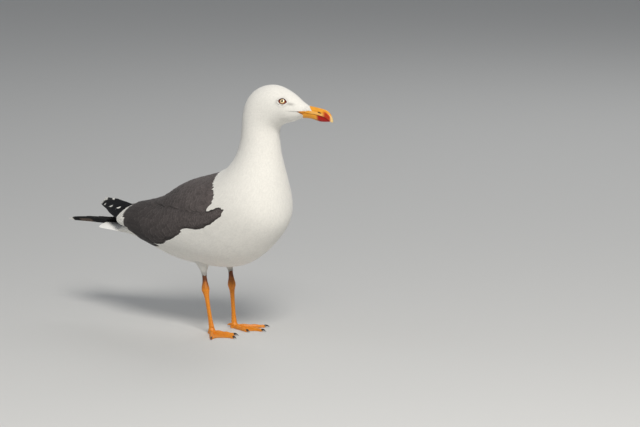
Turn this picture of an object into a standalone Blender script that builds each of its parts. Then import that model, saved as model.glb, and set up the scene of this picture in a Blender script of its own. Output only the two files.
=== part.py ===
"""A lesser black-backed gull, standing alert with its wings folded, at life size.

Sizes below are in millimetres. The bird is laid out with +X to the bill, +Y to its left and +Z up,
from a point on the floor between its feet, and is moved as a whole at the end so that the origin is
at the bottom centre of its bounding box. The flesh is one lofted form, parted into head, neck and
trunk by thin cuts. The mantle and the folded wings are thick shells cut to fit over it.
"""

import math

import bmesh
import bpy
import numpy as np

MM = 0.001
GAP = 0.35  # left between pieces that touch

# Driving dimensions
EYE_RADIUS = 6.4
EYE_X, EYE_Y, EYE_Z = 122.5, 12.2, 342.6  # middle of the left eye on the unturned head
HEAD_TURN_DEG = 6.0  # of the head about the neck, towards the bird's left
NECK_AXIS_X = 75.0
LEG_Y = {"right": -23.5, "left": 30.5}  # the body leans a little over its right leg
ANKLE_X, ANKLE_Z = -13.0, 61.0
HEEL_X = {"right": -1.5, "left": -8.5}  # the left foot is set a little further back
HEEL_Z = 6.5
FLOOR_Z = -2.5
FOOT_YAW_DEG = {"right": -7.0, "left": 8.0}  # of the middle toe from straight ahead
TOE_SPREAD_DEG = {"inner": -24.0, "middle": 0.0, "outer": 39.0}  # from the middle toe, outwards
TOE_LENGTH = {"inner": 37.0, "middle": 50.0, "outer": 45.0}
TOE_WIDTH = 6.4
WEB_THICKNESS = 2.0
CLAW_LENGTH = 6.5
KNUCKLE = 5.0  # radius of the joint over the toes
TAIL_TIP_X = -231.0
TAIL_Z = 122.3  # underside
TAIL_THICKNESS = 3.6
RING_SIDES = 26

# The flesh in side view: where each section meets the back line and the front line, and its half width.
FLESH = (
    # section       back x, z       front x, z     half width
    ("face", 159.5, 338.0, 148.0, 320.5, 7.6),
    ("forehead", 146.0, 344.8, 139.0, 316.5, 12.4),
    ("brow", 132.5, 353.0, 129.5, 313.2, 16.6),
    ("eye", 116.0, 360.2, 119.5, 310.5, 19.3),
    ("crown", 98.0, 363.3, 111.0, 306.5, 21.8),
    ("hind_crown", 75.5, 358.3, 105.5, 301.8, 23.8),
    ("nape", 57.0, 343.0, 103.0, 296.0, 25.2),
    ("upper_neck", 48.5, 321.0, 102.5, 289.0, 25.8),
    ("mid_neck", 46.5, 298.5, 103.0, 279.5, 26.6),
    ("lower_neck", 42.3, 275.0, 105.5, 260.5, 29.5),
    ("neck_base", 32.5, 253.5, 111.0, 234.0, 37.0),
    ("shoulder", 12.0, 234.0, 117.0, 203.0, 47.5),
    ("breast", -12.0, 223.0, 114.5, 165.5, 55.5),
    ("keel", -38.0, 214.5, 84.0, 128.0, 58.5),
    ("mid_body", -66.0, 203.5, 40.0, 99.5, 58.0),
    ("belly", -96.0, 187.0, -18.0, 92.3, 54.5),
    ("flank", -125.0, 173.5, -77.0, 97.0, 46.5),
    ("vent", -151.0, 160.0, -124.0, 108.5, 36.0),
    ("rump", -174.0, 145.0, -164.0, 116.5, 27.5),
    ("tail_base", -196.0, 127.5, -192.0, 122.5, 23.0),
)
ROW = {row[0]: index for index, row in enumerate(FLESH)}
HEAD_END, NECK_END = 6.6, 10.45  # where the thin cuts part the flesh, in sections

# The mantle reaches this far down each side at each section, in degrees from the middle of the back.
MANTLE_EDGE = {11.0: 60, 11.5: 74, 12.0: 83, 12.5: 84, 13.0: 75, 13.5: 66, 14.0: 57, 14.5: 48, 15.0: 39, 16.0: 24, 16.6: 12, 17.3: 1.8}
# The folded wing reaches down to here.
WING_EDGE = {11.8: 97, 12.4: 102, 13.0: 101, 13.5: 97, 14.15: 91, 14.9: 100, 15.6: 112, 16.4: 116, 17.3: 112, 18.2: 96}
MANTLE_REAR, WING_REAR = 17.3, 18.05
TERTIAL_RISE = 17.0  # of the folded wings over the rump, where they meet like a roof

for old in list(bpy.data.objects):
    bpy.data.objects.remove(old, do_unlink=True)
bird = bpy.data.collections.new("lesser_black_backed_gull")
tools = bpy.data.collections.new("cutters")
bpy.context.scene.collection.children.link(bird)
bpy.context.scene.collection.children.link(tools)


def smooth_curve(values, t):
    """The natural cubic spline through values at 0, 1, 2 and so on, read at t."""
    y = np.asarray(values, float)
    n = len(y)
    system = np.eye(n) * 4.0 + np.eye(n, k=1) + np.eye(n, k=-1)
    system[0, :2] = (1.0, 0.0)
    system[-1, -2:] = (0.0, 1.0)
    bend = np.zeros(y.shape)
    bend[1:-1] = 6.0 * (y[2:] - 2.0 * y[1:-1] + y[:-2])
    bend = np.linalg.solve(system, bend)
    t = np.asarray(t, float)
    i = np.clip(np.floor(t).astype(int), 0, n - 2)
    f = t - i
    if y.ndim > 1:
        f = f[..., None]
    g = 1.0 - f
    return g * y[i] + f * y[i + 1] + (g * (g * g - 1.0) * bend[i] + f * (f * f - 1.0) * bend[i + 1]) / 6.0


def head_turn(points, share):
    """Points turned about the neck's upright axis, by a share of the head's turn."""
    angle = math.radians(HEAD_TURN_DEG) * np.asarray(share, float)
    x, y = points[..., 0] - NECK_AXIS_X, points[..., 1]
    turned = [NECK_AXIS_X + x * np.cos(angle) - y * np.sin(angle), x * np.sin(angle) + y * np.cos(angle), points[..., 2]]
    return np.stack(turned, axis=-1)


def flesh(u, angle, proud=0.0):
    """The flesh's surface: u counts sections from the face, angle runs from the back line (0) down the
    left side to the front line (pi), and proud lifts the point off it."""
    u, angle, proud = np.broadcast_arrays(np.asarray(u, float), np.asarray(angle, float), np.asarray(proud, float))
    rows = smooth_curve([row[1:] for row in FLESH], u)
    back, front, half = rows[..., 0:2], rows[..., 2:4], rows[..., 4]
    middle, reach = (back + front) / 2, (back - front) / 2
    depth = np.linalg.norm(reach, axis=-1)
    side = middle + reach * (np.cos(angle) * (1.0 + proud / depth))[..., None]
    points = np.stack([side[..., 0], np.sin(angle) * (half + proud), side[..., 1]], axis=-1)
    rise = np.clip((9.8 - u) / 3.2, 0.0, 1.0)
    return head_turn(points, rise * rise * (3.0 - 2.0 * rise))


def surface(name, colour, roughness):
    material = bpy.data.materials.new(name)
    material.use_nodes = True
    shader = material.node_tree.nodes["Principled BSDF"]
    shader.inputs["Base Color"].default_value = (*colour, 1.0)
    shader.inputs["Roughness"].default_value = roughness
    shader.inputs["Metallic"].default_value = 0.0
    return material


def new_object(name, points, faces, collection, colour=(0.8, 0.8, 0.8), roughness=0.8):
    """A mesh object from points in millimetres."""
    mesh = bpy.data.meshes.new(name)
    mesh.from_pydata((np.asarray(points, float) * MM).tolist(), [], faces)
    mesh.update()
    obj = bpy.data.objects.new(name, mesh)
    collection.objects.link(obj)
    if collection is tools:
        obj.hide_render = True
        obj.display_type = "WIRE"
    else:
        mesh.materials.append(surface(name, colour, roughness))
        mesh.shade_smooth()
        mesh.set_sharp_from_angle(angle=math.radians(50))
    return obj


def loft(name, rings, collection, **looks):
    """A closed solid through rings of as many points each, given in order, with flat ends."""
    rings = np.asarray(rings, float)
    count, sides = rings.shape[:2]
    faces = []
    for i in range(count - 1):
        for j in range(sides):
            a, b = i * sides + j, i * sides + (j + 1) % sides
            c, d = a + sides, b + sides
            faces += [(a, b, d), (a, d, c)]
    faces.append(tuple(range(sides))[::-1])
    faces.append(tuple((count - 1) * sides + j for j in range(sides)))
    return face_out(new_object(name, rings.reshape(-1, 3), faces, collection, **looks))


def face_out(obj):
    form = bmesh.new()
    form.from_mesh(obj.data)
    bmesh.ops.recalc_face_normals(form, faces=form.faces)
    if form.calc_volume(signed=True) < 0:
        bmesh.ops.reverse_faces(form, faces=form.faces)
    form.to_mesh(obj.data)
    form.free()
    return obj


def boolean(obj, other, operation):
    step = obj.modifiers.new(operation.lower(), "BOOLEAN")
    step.operation = operation
    step.solver = "EXACT"
    step.object = other
    return obj


def flesh_part(name, start, end, sections, collection=bird, proud=0.0, **looks):
    turn = np.arange(RING_SIDES) * 2.0 * math.pi / RING_SIDES
    rings = [flesh(u, turn, proud) for u in np.linspace(start, end, sections)]
    return loft(name, rings, collection, **looks)


def shell(name, inner, outer, collection, **looks):
    """A closed solid between two grids of points, the inner and the outer surface of a patch."""
    inner, outer = np.asarray(inner, float), np.asarray(outer, float)
    rows, columns = inner.shape[:2]
    size = rows * columns
    faces = []
    for i in range(rows - 1):
        for j in range(columns - 1):
            a = i * columns + j
            faces += [(a, a + 1, a + columns + 1), (a, a + columns + 1, a + columns)]
            b = a + size
            faces += [(b, b + columns + 1, b + 1), (b, b + columns, b + columns + 1)]
    rim = [j for j in range(columns)]
    rim += [i * columns + columns - 1 for i in range(1, rows)]
    rim += [(rows - 1) * columns + j for j in range(columns - 2, -1, -1)]
    rim += [i * columns for i in range(rows - 2, 0, -1)]
    for a, b in zip(rim, rim[1:] + rim[:1]):
        faces += [(a, b, b + size), (a, b + size, a + size)]
    points = np.concatenate([inner.reshape(-1, 3), outer.reshape(-1, 3)])
    return face_out(new_object(name, points, faces, collection, **looks))


def ball(name, centre, radius, segments, collection):
    """A sphere, its centre and radius in millimetres."""
    bpy.ops.mesh.primitive_uv_sphere_add(
        segments=segments, ring_count=segments // 2 + 1, radius=radius * MM, location=np.asarray(centre) * MM
    )
    obj = bpy.context.object
    obj.name = name
    for owner in list(obj.users_collection):
        owner.objects.unlink(obj)
    collection.objects.link(obj)
    obj.data.shade_smooth()
    obj.hide_render = collection is tools
    obj.display_type = "WIRE" if collection is tools else "TEXTURED"
    return obj


def edge(table, u):
    return np.interp(u, list(table), [math.radians(v) for v in table.values()])


# ---- head, neck and trunk
white = {"colour": (0.83, 0.81, 0.77), "roughness": 0.85}
head = flesh_part("head", 0.0, HEAD_END, 12, **white)
neck = flesh_part("neck", HEAD_END + 0.045, NECK_END, 7, **white)
trunk = flesh_part("trunk", NECK_END + 0.025, len(FLESH) - 1.0, 20, **white)
trunk_room = flesh_part("trunk_room", NECK_END - 0.4, len(FLESH) - 0.98, 20, tools, GAP, **white)

# ---- eyes, in sockets
sides = {"right": -1.0, "left": 1.0}
for side, sign in sides.items():
    centre = head_turn(np.array([EYE_X, sign * EYE_Y, EYE_Z]), 1.0)
    eye = ball(f"eye_{side}", centre, EYE_RADIUS, 14, bird)
    eye.data.materials.append(surface(f"eye_{side}", (0.5, 0.42, 0.2), 0.1))
    boolean(head, ball(f"socket_{side}", centre, EYE_RADIUS + GAP, 14, tools), "DIFFERENCE")

# ---- bill: each row is the outer line, the mouth line and the half width
UPPER_BILL = (
    (160.6, 338.3, 154.6, 330.1, 7.2),
    (167.0, 338.5, 163.0, 328.9, 6.7),
    (175.0, 337.4, 172.0, 327.6, 6.0),
    (183.0, 335.2, 181.0, 325.9, 5.3),
    (190.5, 331.9, 189.0, 324.1, 4.5),
    (196.8, 327.5, 194.8, 322.1, 3.5),
    (200.8, 322.9, 198.6, 320.0, 2.3),
    (202.0, 319.3, 200.6, 318.7, 0.9),
)
LOWER_BILL = (
    (148.6, 320.3, 154.3, 329.4, 6.4),
    (158.0, 320.9, 162.0, 328.4, 6.1),
    (168.0, 320.5, 171.0, 327.1, 5.5),
    (178.5, 318.0, 180.0, 325.5, 4.9),
    (186.0, 318.5, 187.0, 323.9, 4.0),
    (192.5, 319.3, 193.0, 321.9, 2.7),
    (195.8, 319.8, 196.2, 320.8, 1.2),
)


def bill_part(name, rows, sections, colour):
    """Half-round sections, each with its arch on the outer line and its flat on the mouth line."""
    rings = []
    arc = np.linspace(0.0, math.pi, 11)
    for t in np.linspace(0.0, len(rows) - 1.0, sections):
        x0, z0, x1, z1, half = smooth_curve(rows, t)
        rise, across = np.sin(arc) ** 0.85, np.cos(arc) * half
        x, z = x1 + (x0 - x1) * rise, z1 + (z0 - z1) * rise
        rings.append(head_turn(np.stack([x, across, z], axis=-1), 1.0))
    return loft(name, rings, bird, colour=colour, roughness=0.35)


bill_part("bill_upper", UPPER_BILL, 13, (0.85, 0.42, 0.06))
bill_part("bill_lower", LOWER_BILL, 12, (0.82, 0.3, 0.04))

# ---- mantle and folded wings
slate = {"colour": (0.075, 0.062, 0.06), "roughness": 0.75}


def rear_rise(u):
    return TERTIAL_RISE * np.clip((u - 15.3) / 2.7, 0.0, 1.0) ** 1.3


t = np.linspace(-1.0, 1.0, 13)[None, :]
s = np.linspace(0.0, 1.0, 15)[:, None]
u = (10.8 + 1.2 * abs(t) ** 2.6) * (1.0 - s) + MANTLE_REAR * s
angle = t * edge(MANTLE_EDGE, u)
thick = 3.4 + 2.6 * (1.0 - abs(t) ** 6) * np.sin(math.pi * np.clip(s * 1.15 + 0.1, 0.0, 1.0)) ** 0.6
thick += 1.2 * abs(t) ** 3 * np.clip(4.0 * s, 0.0, 1.0) * np.clip(4.0 - 5.0 * s, 0.0, 1.0)
thick = thick * (0.55 + 0.45 * np.clip(s * 6.0, 0.0, 1.0)) + rear_rise(u)
mantle = shell("mantle", flesh(u, angle, -7.0), flesh(u, angle, thick), bird, **slate)
boolean(mantle, trunk_room, "DIFFERENCE")

for side, sign in sides.items():
    t = np.linspace(0.0, 1.0, 9)[None, :]
    s = np.linspace(0.0, 1.0, 18)[:, None]
    front = 11.9 + 0.5 * (np.clip(0.45 - t, 0.0, 1.0) / 0.45) ** 2 + 0.35 * (np.clip(t - 0.6, 0.0, 1.0) / 0.4) ** 2
    rear = WING_REAR - 0.75 * t**2.5
    u = front * (1.0 - s) + rear * s
    top = edge(MANTLE_EDGE, u) + 0.021 - 0.03 * np.clip((u - MANTLE_REAR) / 0.3, 0.0, 1.0)
    low = edge(WING_EDGE, u)
    angle = top + t * (low - top)
    thick = 2.0 + 2.4 * np.sin(math.pi * t) ** 0.7 * np.clip(s * 8.0, 0.0, 1.0)
    thick = thick + 1.4 * np.exp(-(((s - 0.07) / 0.07) ** 2)) * np.sin(math.pi * t)
    thick = thick + rear_rise(u) * (1.0 - t) ** 1.2
    wing = shell(f"wing_{side}", flesh(u, sign * angle, -7.0), flesh(u, sign * angle, thick), bird, **slate)
    boolean(wing, trunk_room, "DIFFERENCE")


# ---- wing tips: a blade between a top edge line and a bottom edge line, with a rounded end
def blade(name, top, bottom, thickness, sections, collection, room=0.0, **looks):
    rings = []
    count = len(top) - 1.0
    for f in np.linspace(0.0, 1.0, sections) ** 0.85:
        a, b = smooth_curve(top, f * count), smooth_curve(bottom, f * count)
        along = smooth_curve(top, min(f + 0.02, 1.0) * count) - smooth_curve(top, max(f - 0.02, 0.0) * count)
        face = np.cross(along, a - b)
        face = face / np.linalg.norm(face)
        depth = thickness * (1.0 - 0.55 * f) / 2 + room
        turn = np.arange(10) * 2.0 * math.pi / 10
        taper = (1.0 - 0.75 * max(0.0, (f - 0.86) / 0.14) ** 2) * (1.0 + 2.0 * room / np.linalg.norm(a - b))
        across = (a - b)[None, :] / 2 * np.cos(turn)[:, None] * taper
        rings.append((a + b) / 2 + across + face * (depth * np.sin(turn))[:, None])
    return loft(name, rings, collection, **looks)


black = {"colour": (0.02, 0.02, 0.022), "roughness": 0.5}
RIGHT_TOP = ((-172, -12, 167), (-200, -4, 168), (-228, 6, 165), (-254, 16, 163), (-272, 24, 158))
RIGHT_LOW = ((-172, -31, 142), (-200, -24, 142), (-229, -8, 144.5), (-255, 10, 147.5), (-275, 25, 151))
LEFT_TOP = ((-172, 14, 158), (-200, 4, 143.5), (-228, -9, 139), (-258, -20, 138.5), (-288, -28, 135.5))
LEFT_LOW = ((-172, 32, 141), (-200, 20, 132), (-228, 5, 129.5), (-258, -9, 129), (-288, -24, 132))
BLADES = {"right": (RIGHT_TOP, RIGHT_LOW, 5.0), "left": (LEFT_TOP, LEFT_LOW, 4.6)}
for side, (top, low, thickness) in BLADES.items():
    tip = blade(f"primaries_{side}", top, low, thickness, 11, bird, **black)
    boolean(tip, trunk_room, "DIFFERENCE")
    tip_room = blade(f"primaries_room_{side}", top, low, thickness, 11, tools, GAP, **black)
    for other in sides:
        boolean(bird.objects[f"wing_{other}"], tip_room, "DIFFERENCE")

# ---- tail: a flat fan with a rounded end
rings = []
for f in np.linspace(0.0, 1.0, 9):
    x = -196.6 + (TAIL_TIP_X + 196.6) * math.sin(f * math.pi / 2)
    half = 22.0 + 5.5 * f - 16.0 * max(0.0, (f - 0.62) / 0.38) ** 3
    turn = np.arange(14) * 2.0 * math.pi / 14
    y = half * np.cos(turn)
    z = TAIL_Z + TAIL_THICKNESS / 2 * (1.0 + np.sin(turn) * (1.0 - 0.3 * f)) + 1.5 * (1.0 - (y / 28.0) ** 2)
    rings.append(np.stack([np.full(14, x), y, z], axis=-1))
loft("tail", rings, bird, **white)


# ---- legs
def limb(name, path, widths, depths, sections, sides_count, collection, **looks):
    """A tube of oval section along a path, given its points, widths across and depths fore and aft."""
    rings = []
    count = len(path) - 1.0
    for f in np.linspace(0.0, count, sections):
        centre = smooth_curve(path, f)
        along = smooth_curve(path, min(f + 0.05, count)) - smooth_curve(path, max(f - 0.05, 0.0))
        along = along / np.linalg.norm(along)
        across = np.array([0.0, 1.0, 0.0]) - along * along[1]
        across = across / np.linalg.norm(across)
        ahead = np.cross(across, along)
        turn = np.arange(sides_count) * 2.0 * math.pi / sides_count
        w, d = np.interp(f, range(len(widths)), widths) / 2, np.interp(f, range(len(depths)), depths) / 2
        rings.append(centre + across * (w * np.cos(turn))[:, None] + ahead * (d * np.sin(turn))[:, None])
    return loft(name, rings, collection, **looks)


orange = {"colour": (0.83, 0.36, 0.03), "roughness": 0.55}
horn = {"colour": (0.03, 0.025, 0.02), "roughness": 0.4}


def direction(degrees):
    return np.array([math.cos(math.radians(degrees)), math.sin(math.radians(degrees)), 0.0])


def toe(name, heel, heading, length, sole, collection, **looks):
    """A toe lying on its flat sole, which rises by an arch near the heel, under a domed top."""
    rings = []
    across = np.array([-heading[1], heading[0], 0.0])
    arc = np.linspace(0.0, math.pi, 7)
    for f in np.linspace(-0.1, 1.0, 8):
        arch = sole * max(0.0, 1.0 - max(f, 0.0) / 0.42)
        end = math.sqrt(max(0.0, 1.0 - max(0.0, (f - 0.93) / 0.075) ** 2))
        w = (TOE_WIDTH * (1.0 - 0.28 * max(f, 0.0)) / 2 * (1.0 + 0.07 * math.cos(f * 6 * math.pi))) * max(end, 0.3)
        h = (6.6 - 0.5 * sole - 2.4 * max(f, 0.0) + 0.25 * math.cos(f * 6 * math.pi)) * max(end, 0.35)
        up = arch + (h - arch) * np.sin(arc) ** 0.8
        ring = heel + heading * length * f + across * (w * np.cos(arc))[:, None]
        rings.append(ring + np.array([0.0, 0.0, 1.0]) * up[:, None])
    return loft(name, rings, collection, **looks)


def claw(name, root, heading, length, half):
    """A small curved horn, thick at its root, that dips at its tip."""
    rings = []
    across = np.array([-heading[1], heading[0], 0.0])
    turn = np.arange(7) * 2.0 * math.pi / 7
    for f in np.linspace(0.0, 1.0, 5):
        centre = root + heading * length * f + np.array([0.0, 0.0, 0.9 * math.sin(f * 2.2) - 1.6 * f * f])
        size = half * (1.0 - f) ** 0.7 + 0.25
        ring = centre + across * (size * 0.8 * np.cos(turn))[:, None]
        rings.append(ring + np.array([0.0, 0.0, 1.0]) * (size * np.sin(turn))[:, None])
    return loft(name, rings, bird, **horn)


for side, sign in sides.items():
    y = LEG_Y[side]
    hip = [(ANKLE_X - 7.0, y * 0.93, 103.0), (ANKLE_X - 5.0, y * 0.96, 93.0), (ANKLE_X - 2.5, y, 82.5)]
    thigh = limb(f"thigh_{side}", hip, (24.0, 13.5, 7.4), (30.0, 17.0, 8.4), 6, 14, bird, **white)
    boolean(thigh, trunk_room, "DIFFERENCE")
    heel = np.array([HEEL_X[side], y, FLOOR_Z])
    shin = [(ANKLE_X - 2.4, y, 81.2), (ANKLE_X - 1.0, y, 71.0), (ANKLE_X, y, ANKLE_Z)]
    for f in (0.14, 0.4, 0.75, 1.0):
        shin.append((ANKLE_X + (heel[0] - ANKLE_X) * f, y, ANKLE_Z + (HEEL_Z - ANKLE_Z) * f))
    widths = (5.8, 7.0, 10.6, 7.2, 5.2, 5.2, 7.4)
    depths = (6.6, 8.4, 12.2, 8.8, 6.8, 6.8, 8.8)
    leg = limb(f"leg_{side}", shin, widths, depths, 15, 10, bird, **orange)
    parts = {}
    tips = {}
    for which, spread in TOE_SPREAD_DEG.items():
        heading = direction(sign * (FOOT_YAW_DEG[side] * sign + spread))
        tips[which] = heel + heading * TOE_LENGTH[which]
        where = bird if which == "middle" else tools
        label = "foot" if which == "middle" else f"toe_{which}"
        arch = {"middle": 0.0, "inner": 0.8, "outer": 1.1}[which]
        root = heel + heading * arch
        parts[which] = toe(f"{label}_{side}", root, heading, TOE_LENGTH[which] - arch, arch, where, **orange)
        claw(f"claw_{which}_{side}", tips[which] + heading * 0.55 + np.array([0.0, 0.0, 1.9]), heading, CLAW_LENGTH, 1.5)
    outline = [heel - direction(FOOT_YAW_DEG[side]) * 2.0]
    for first, second in (("inner", "middle"), ("middle", "outer")):
        a, b = tips[first], tips[second]
        for f in np.linspace(0.0, 1.0, 7) if first == "inner" else np.linspace(0.0, 1.0, 7)[1:]:
            point = a + (b - a) * f
            outline.append(heel + (point - heel) * (0.9 - 0.17 * math.sin(f * math.pi)))
    outline = np.array(outline)
    outline = outline + np.array([0.0, 0.0, 0.5])
    lifted = outline + np.array([0.0, 0.0, WEB_THICKNESS])
    count = len(outline)
    faces = [tuple(range(count)), tuple(range(2 * count - 1, count - 1, -1))]
    faces += [(i, i + count, (i + 1) % count + count, (i + 1) % count) for i in range(count)]
    web = face_out(new_object(f"web_{side}", np.concatenate([outline, lifted]), faces, tools, **orange))
    knuckle = ball(f"knuckle_{side}", heel + np.array([0.3, 0.2, KNUCKLE + 0.15]), KNUCKLE, 12, tools)
    knuckle_room = ball(f"knuckle_room_{side}", heel + np.array([0.3, 0.2, KNUCKLE + 0.15]), KNUCKLE + GAP, 12, tools)
    boolean(leg, knuckle_room, "DIFFERENCE")
    spur = [tuple(heel + np.array([x, -sign * y, z])) for x, y, z in ((-1.0, 1.0, 5.0), (-5.5, 2.6, 5.2), (-9.5, 4.2, 3.6))]
    hind_toe = limb(f"hind_toe_{side}", spur, (4.4, 3.4, 1.2), (4.2, 3.2, 1.2), 5, 7, tools, **orange)
    foot = parts["middle"]
    for extra in (parts["inner"], parts["outer"], web, knuckle, hind_toe):
        boolean(foot, extra, "UNION")

# ---- the origin goes to the bottom centre of the bounding box
bpy.context.view_layer.update()
graph = bpy.context.evaluated_depsgraph_get()
corners = []
for obj in bird.objects:
    solid = obj.evaluated_get(graph)
    corners += [list(obj.matrix_world @ vertex.co) for vertex in solid.data.vertices]
corners = np.array(corners)
middle = (corners.min(axis=0) + corners.max(axis=0)) / 2
for obj in [*bird.objects, *tools.objects]:
    obj.location.x -= middle[0]
    obj.location.y -= middle[1]
    obj.location.z -= corners[:, 2].min()
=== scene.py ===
import math

import bpy
import numpy as np
from mathutils import Matrix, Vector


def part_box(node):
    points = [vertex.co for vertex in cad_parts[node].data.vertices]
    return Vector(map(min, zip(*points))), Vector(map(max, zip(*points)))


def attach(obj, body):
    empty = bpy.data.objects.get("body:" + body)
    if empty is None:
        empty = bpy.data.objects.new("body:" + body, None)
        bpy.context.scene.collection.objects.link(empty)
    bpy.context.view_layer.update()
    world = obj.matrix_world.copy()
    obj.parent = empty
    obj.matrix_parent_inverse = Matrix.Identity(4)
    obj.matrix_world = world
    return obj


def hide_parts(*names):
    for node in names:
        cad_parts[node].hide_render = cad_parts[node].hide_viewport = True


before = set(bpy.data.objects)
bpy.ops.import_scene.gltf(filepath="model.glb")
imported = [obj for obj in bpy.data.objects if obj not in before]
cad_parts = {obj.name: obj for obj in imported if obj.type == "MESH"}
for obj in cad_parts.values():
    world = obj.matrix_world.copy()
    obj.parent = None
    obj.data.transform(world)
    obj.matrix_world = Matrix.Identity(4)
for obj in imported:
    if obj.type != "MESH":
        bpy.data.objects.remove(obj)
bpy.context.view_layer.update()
scene = bpy.context.scene
dice = np.random.default_rng(11)
sides = {"right": -1.0, "left": 1.0}

# Shapes are worked out in millimetres in the bird's own frame: +X to the bill, +Y to its left, +Z up.
origin = {"aheadOfTail": 0.231, "aboveFloor": 0.0025}  # in metres
tailBox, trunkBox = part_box("tail"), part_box("trunk")
acrossMiddle = (trunkBox[0].y + trunkBox[1].y) / 2
birdOrigin = np.array([tailBox[0].x + origin["aheadOfTail"], acrossMiddle, origin["aboveFloor"]])

print("camera, floor and light")
view = {
    "turn": 44.0,  # degrees from square-on to the bird's right side, towards its front
    "height": 9.0,
    "distance": 6.0,
    "lens": 236.0,
    "aim": (0.0, 0.0, 0.19),  # a point in the bird, in metres
    "aside": (0.1384, -0.021),  # how far the middle of the frame lies right of it and above it
}
turn, height = math.radians(view["turn"]), math.radians(view["height"])
back = np.array([math.sin(turn) * math.cos(height), -math.cos(turn) * math.cos(height), math.sin(height)])
right = np.array([math.cos(turn), math.sin(turn), 0.0])
up = np.cross(back, right)
aim = np.array(view["aim"]) + birdOrigin
eyePlace = aim + back * view["distance"]
lookAt = aim + right * view["aside"][0] + up * view["aside"][1]


def unit(v):
    return v / np.maximum(np.linalg.norm(v, axis=-1, keepdims=True), 1e-12)


def placed(obj, place, target):
    # the object at a place, its -Z turned to the target and its +Y as upright as it goes
    ahead = unit(np.asarray(target) - np.asarray(place))
    across = unit(np.cross(ahead, (0.0, 0.0, 1.0)))
    matrix = np.eye(4)
    matrix[:3, :3] = np.stack([across, np.cross(across, ahead), -ahead], axis=1)
    matrix[:3, 3] = place
    obj.matrix_world = Matrix(matrix.tolist())
    return obj


def newObject(name, data):
    obj = bpy.data.objects.new(name, data)
    scene.collection.objects.link(obj)
    return obj


cameraData = bpy.data.cameras.new("camera")
cameraData.lens = view["lens"]
cameraData.sensor_width = 36.0
cameraData.clip_end = 200.0
camera = placed(newObject("camera", cameraData), eyePlace, lookAt)
scene.camera = camera

lampAim = (0.0, 0.0, 0.2)
lamps = {
    # name: place, metres across, watts, colour
    "key": ((2.2, -1.5, 2.5), 1.2, 102.0, (1.0, 0.97, 0.92)),
    "fill": ((-2.2, -1.6, 1.4), 2.4, 6.0, (0.93, 0.96, 1.0)),
    "behind": ((-0.8, 2.4, 2.2), 1.8, 16.0, (1.0, 1.0, 1.0)),
}
for name, (place, across, watts, colour) in lamps.items():
    lamp = bpy.data.lights.new(name, "AREA")
    lamp.shape = "DISK"
    lamp.size = across
    lamp.energy = watts
    lamp.color = colour
    placed(newObject(name, lamp), place, lampAim)

sky = {"colour": (0.80, 0.83, 0.87, 1.0), "strength": 0.31}
world = bpy.data.worlds.new("studio")
world.use_nodes = True
world.node_tree.nodes["Background"].inputs["Color"].default_value = sky["colour"]
world.node_tree.nodes["Background"].inputs["Strength"].default_value = sky["strength"]
scene.world = world
scene.view_settings.view_transform = "Standard"


def fraction(value):
    return np.clip(value, 0.0, 1.0)


def bell(value):
    # 1 at 0, falling off smoothly to both sides
    return np.exp(-(value**2))


def ease(value):
    # rises smoothly from 0 at 0 to 1 at 1
    value = fraction(value)
    return value * value * (3.0 - 2.0 * value)


def arrays(*values):
    # all of one shape
    return np.broadcast_arrays(*(np.asarray(value, float) for value in values))


def stacked(*parts):
    return np.stack(np.broadcast_arrays(*parts), axis=-1)


def crossed(down, along):
    # a grid: the first values go down its rows, the second along them
    return np.meshgrid(down, along, indexing="ij")


def around(count):
    return np.arange(count) * 2.0 * math.pi / count


def times(amounts, direction):
    # so much of a direction at each place
    return np.asarray(amounts)[..., None] * direction


def volumeOf(points, faces):
    # signed volume: a fan of tetrahedra from the origin over each face
    total = 0.0
    for block in faces:
        for k in range(1, block.shape[1] - 1):
            a, b, c = points[block[:, 0]], points[block[:, k]], points[block[:, k + 1]]
            total += float((a * np.cross(b, c)).sum())
    return total


def gridFaces(rows, columns):
    # quads of a grid whose columns are joined round into a tube
    i, j = crossed(np.arange(rows - 1), np.arange(columns))
    k, row = (j + 1) % columns, i * columns
    return stacked(row + j, row + k, row + columns + k, row + columns + j).reshape(-1, 4)


def tubeFaces(rows, columns):
    # a grid joined round, with a flat face closing each end
    first = np.arange(columns)[None, ::-1]
    last = (rows - 1) * columns + np.arange(columns)[None, :]
    return [gridFaces(rows, columns), first, last]


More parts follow.
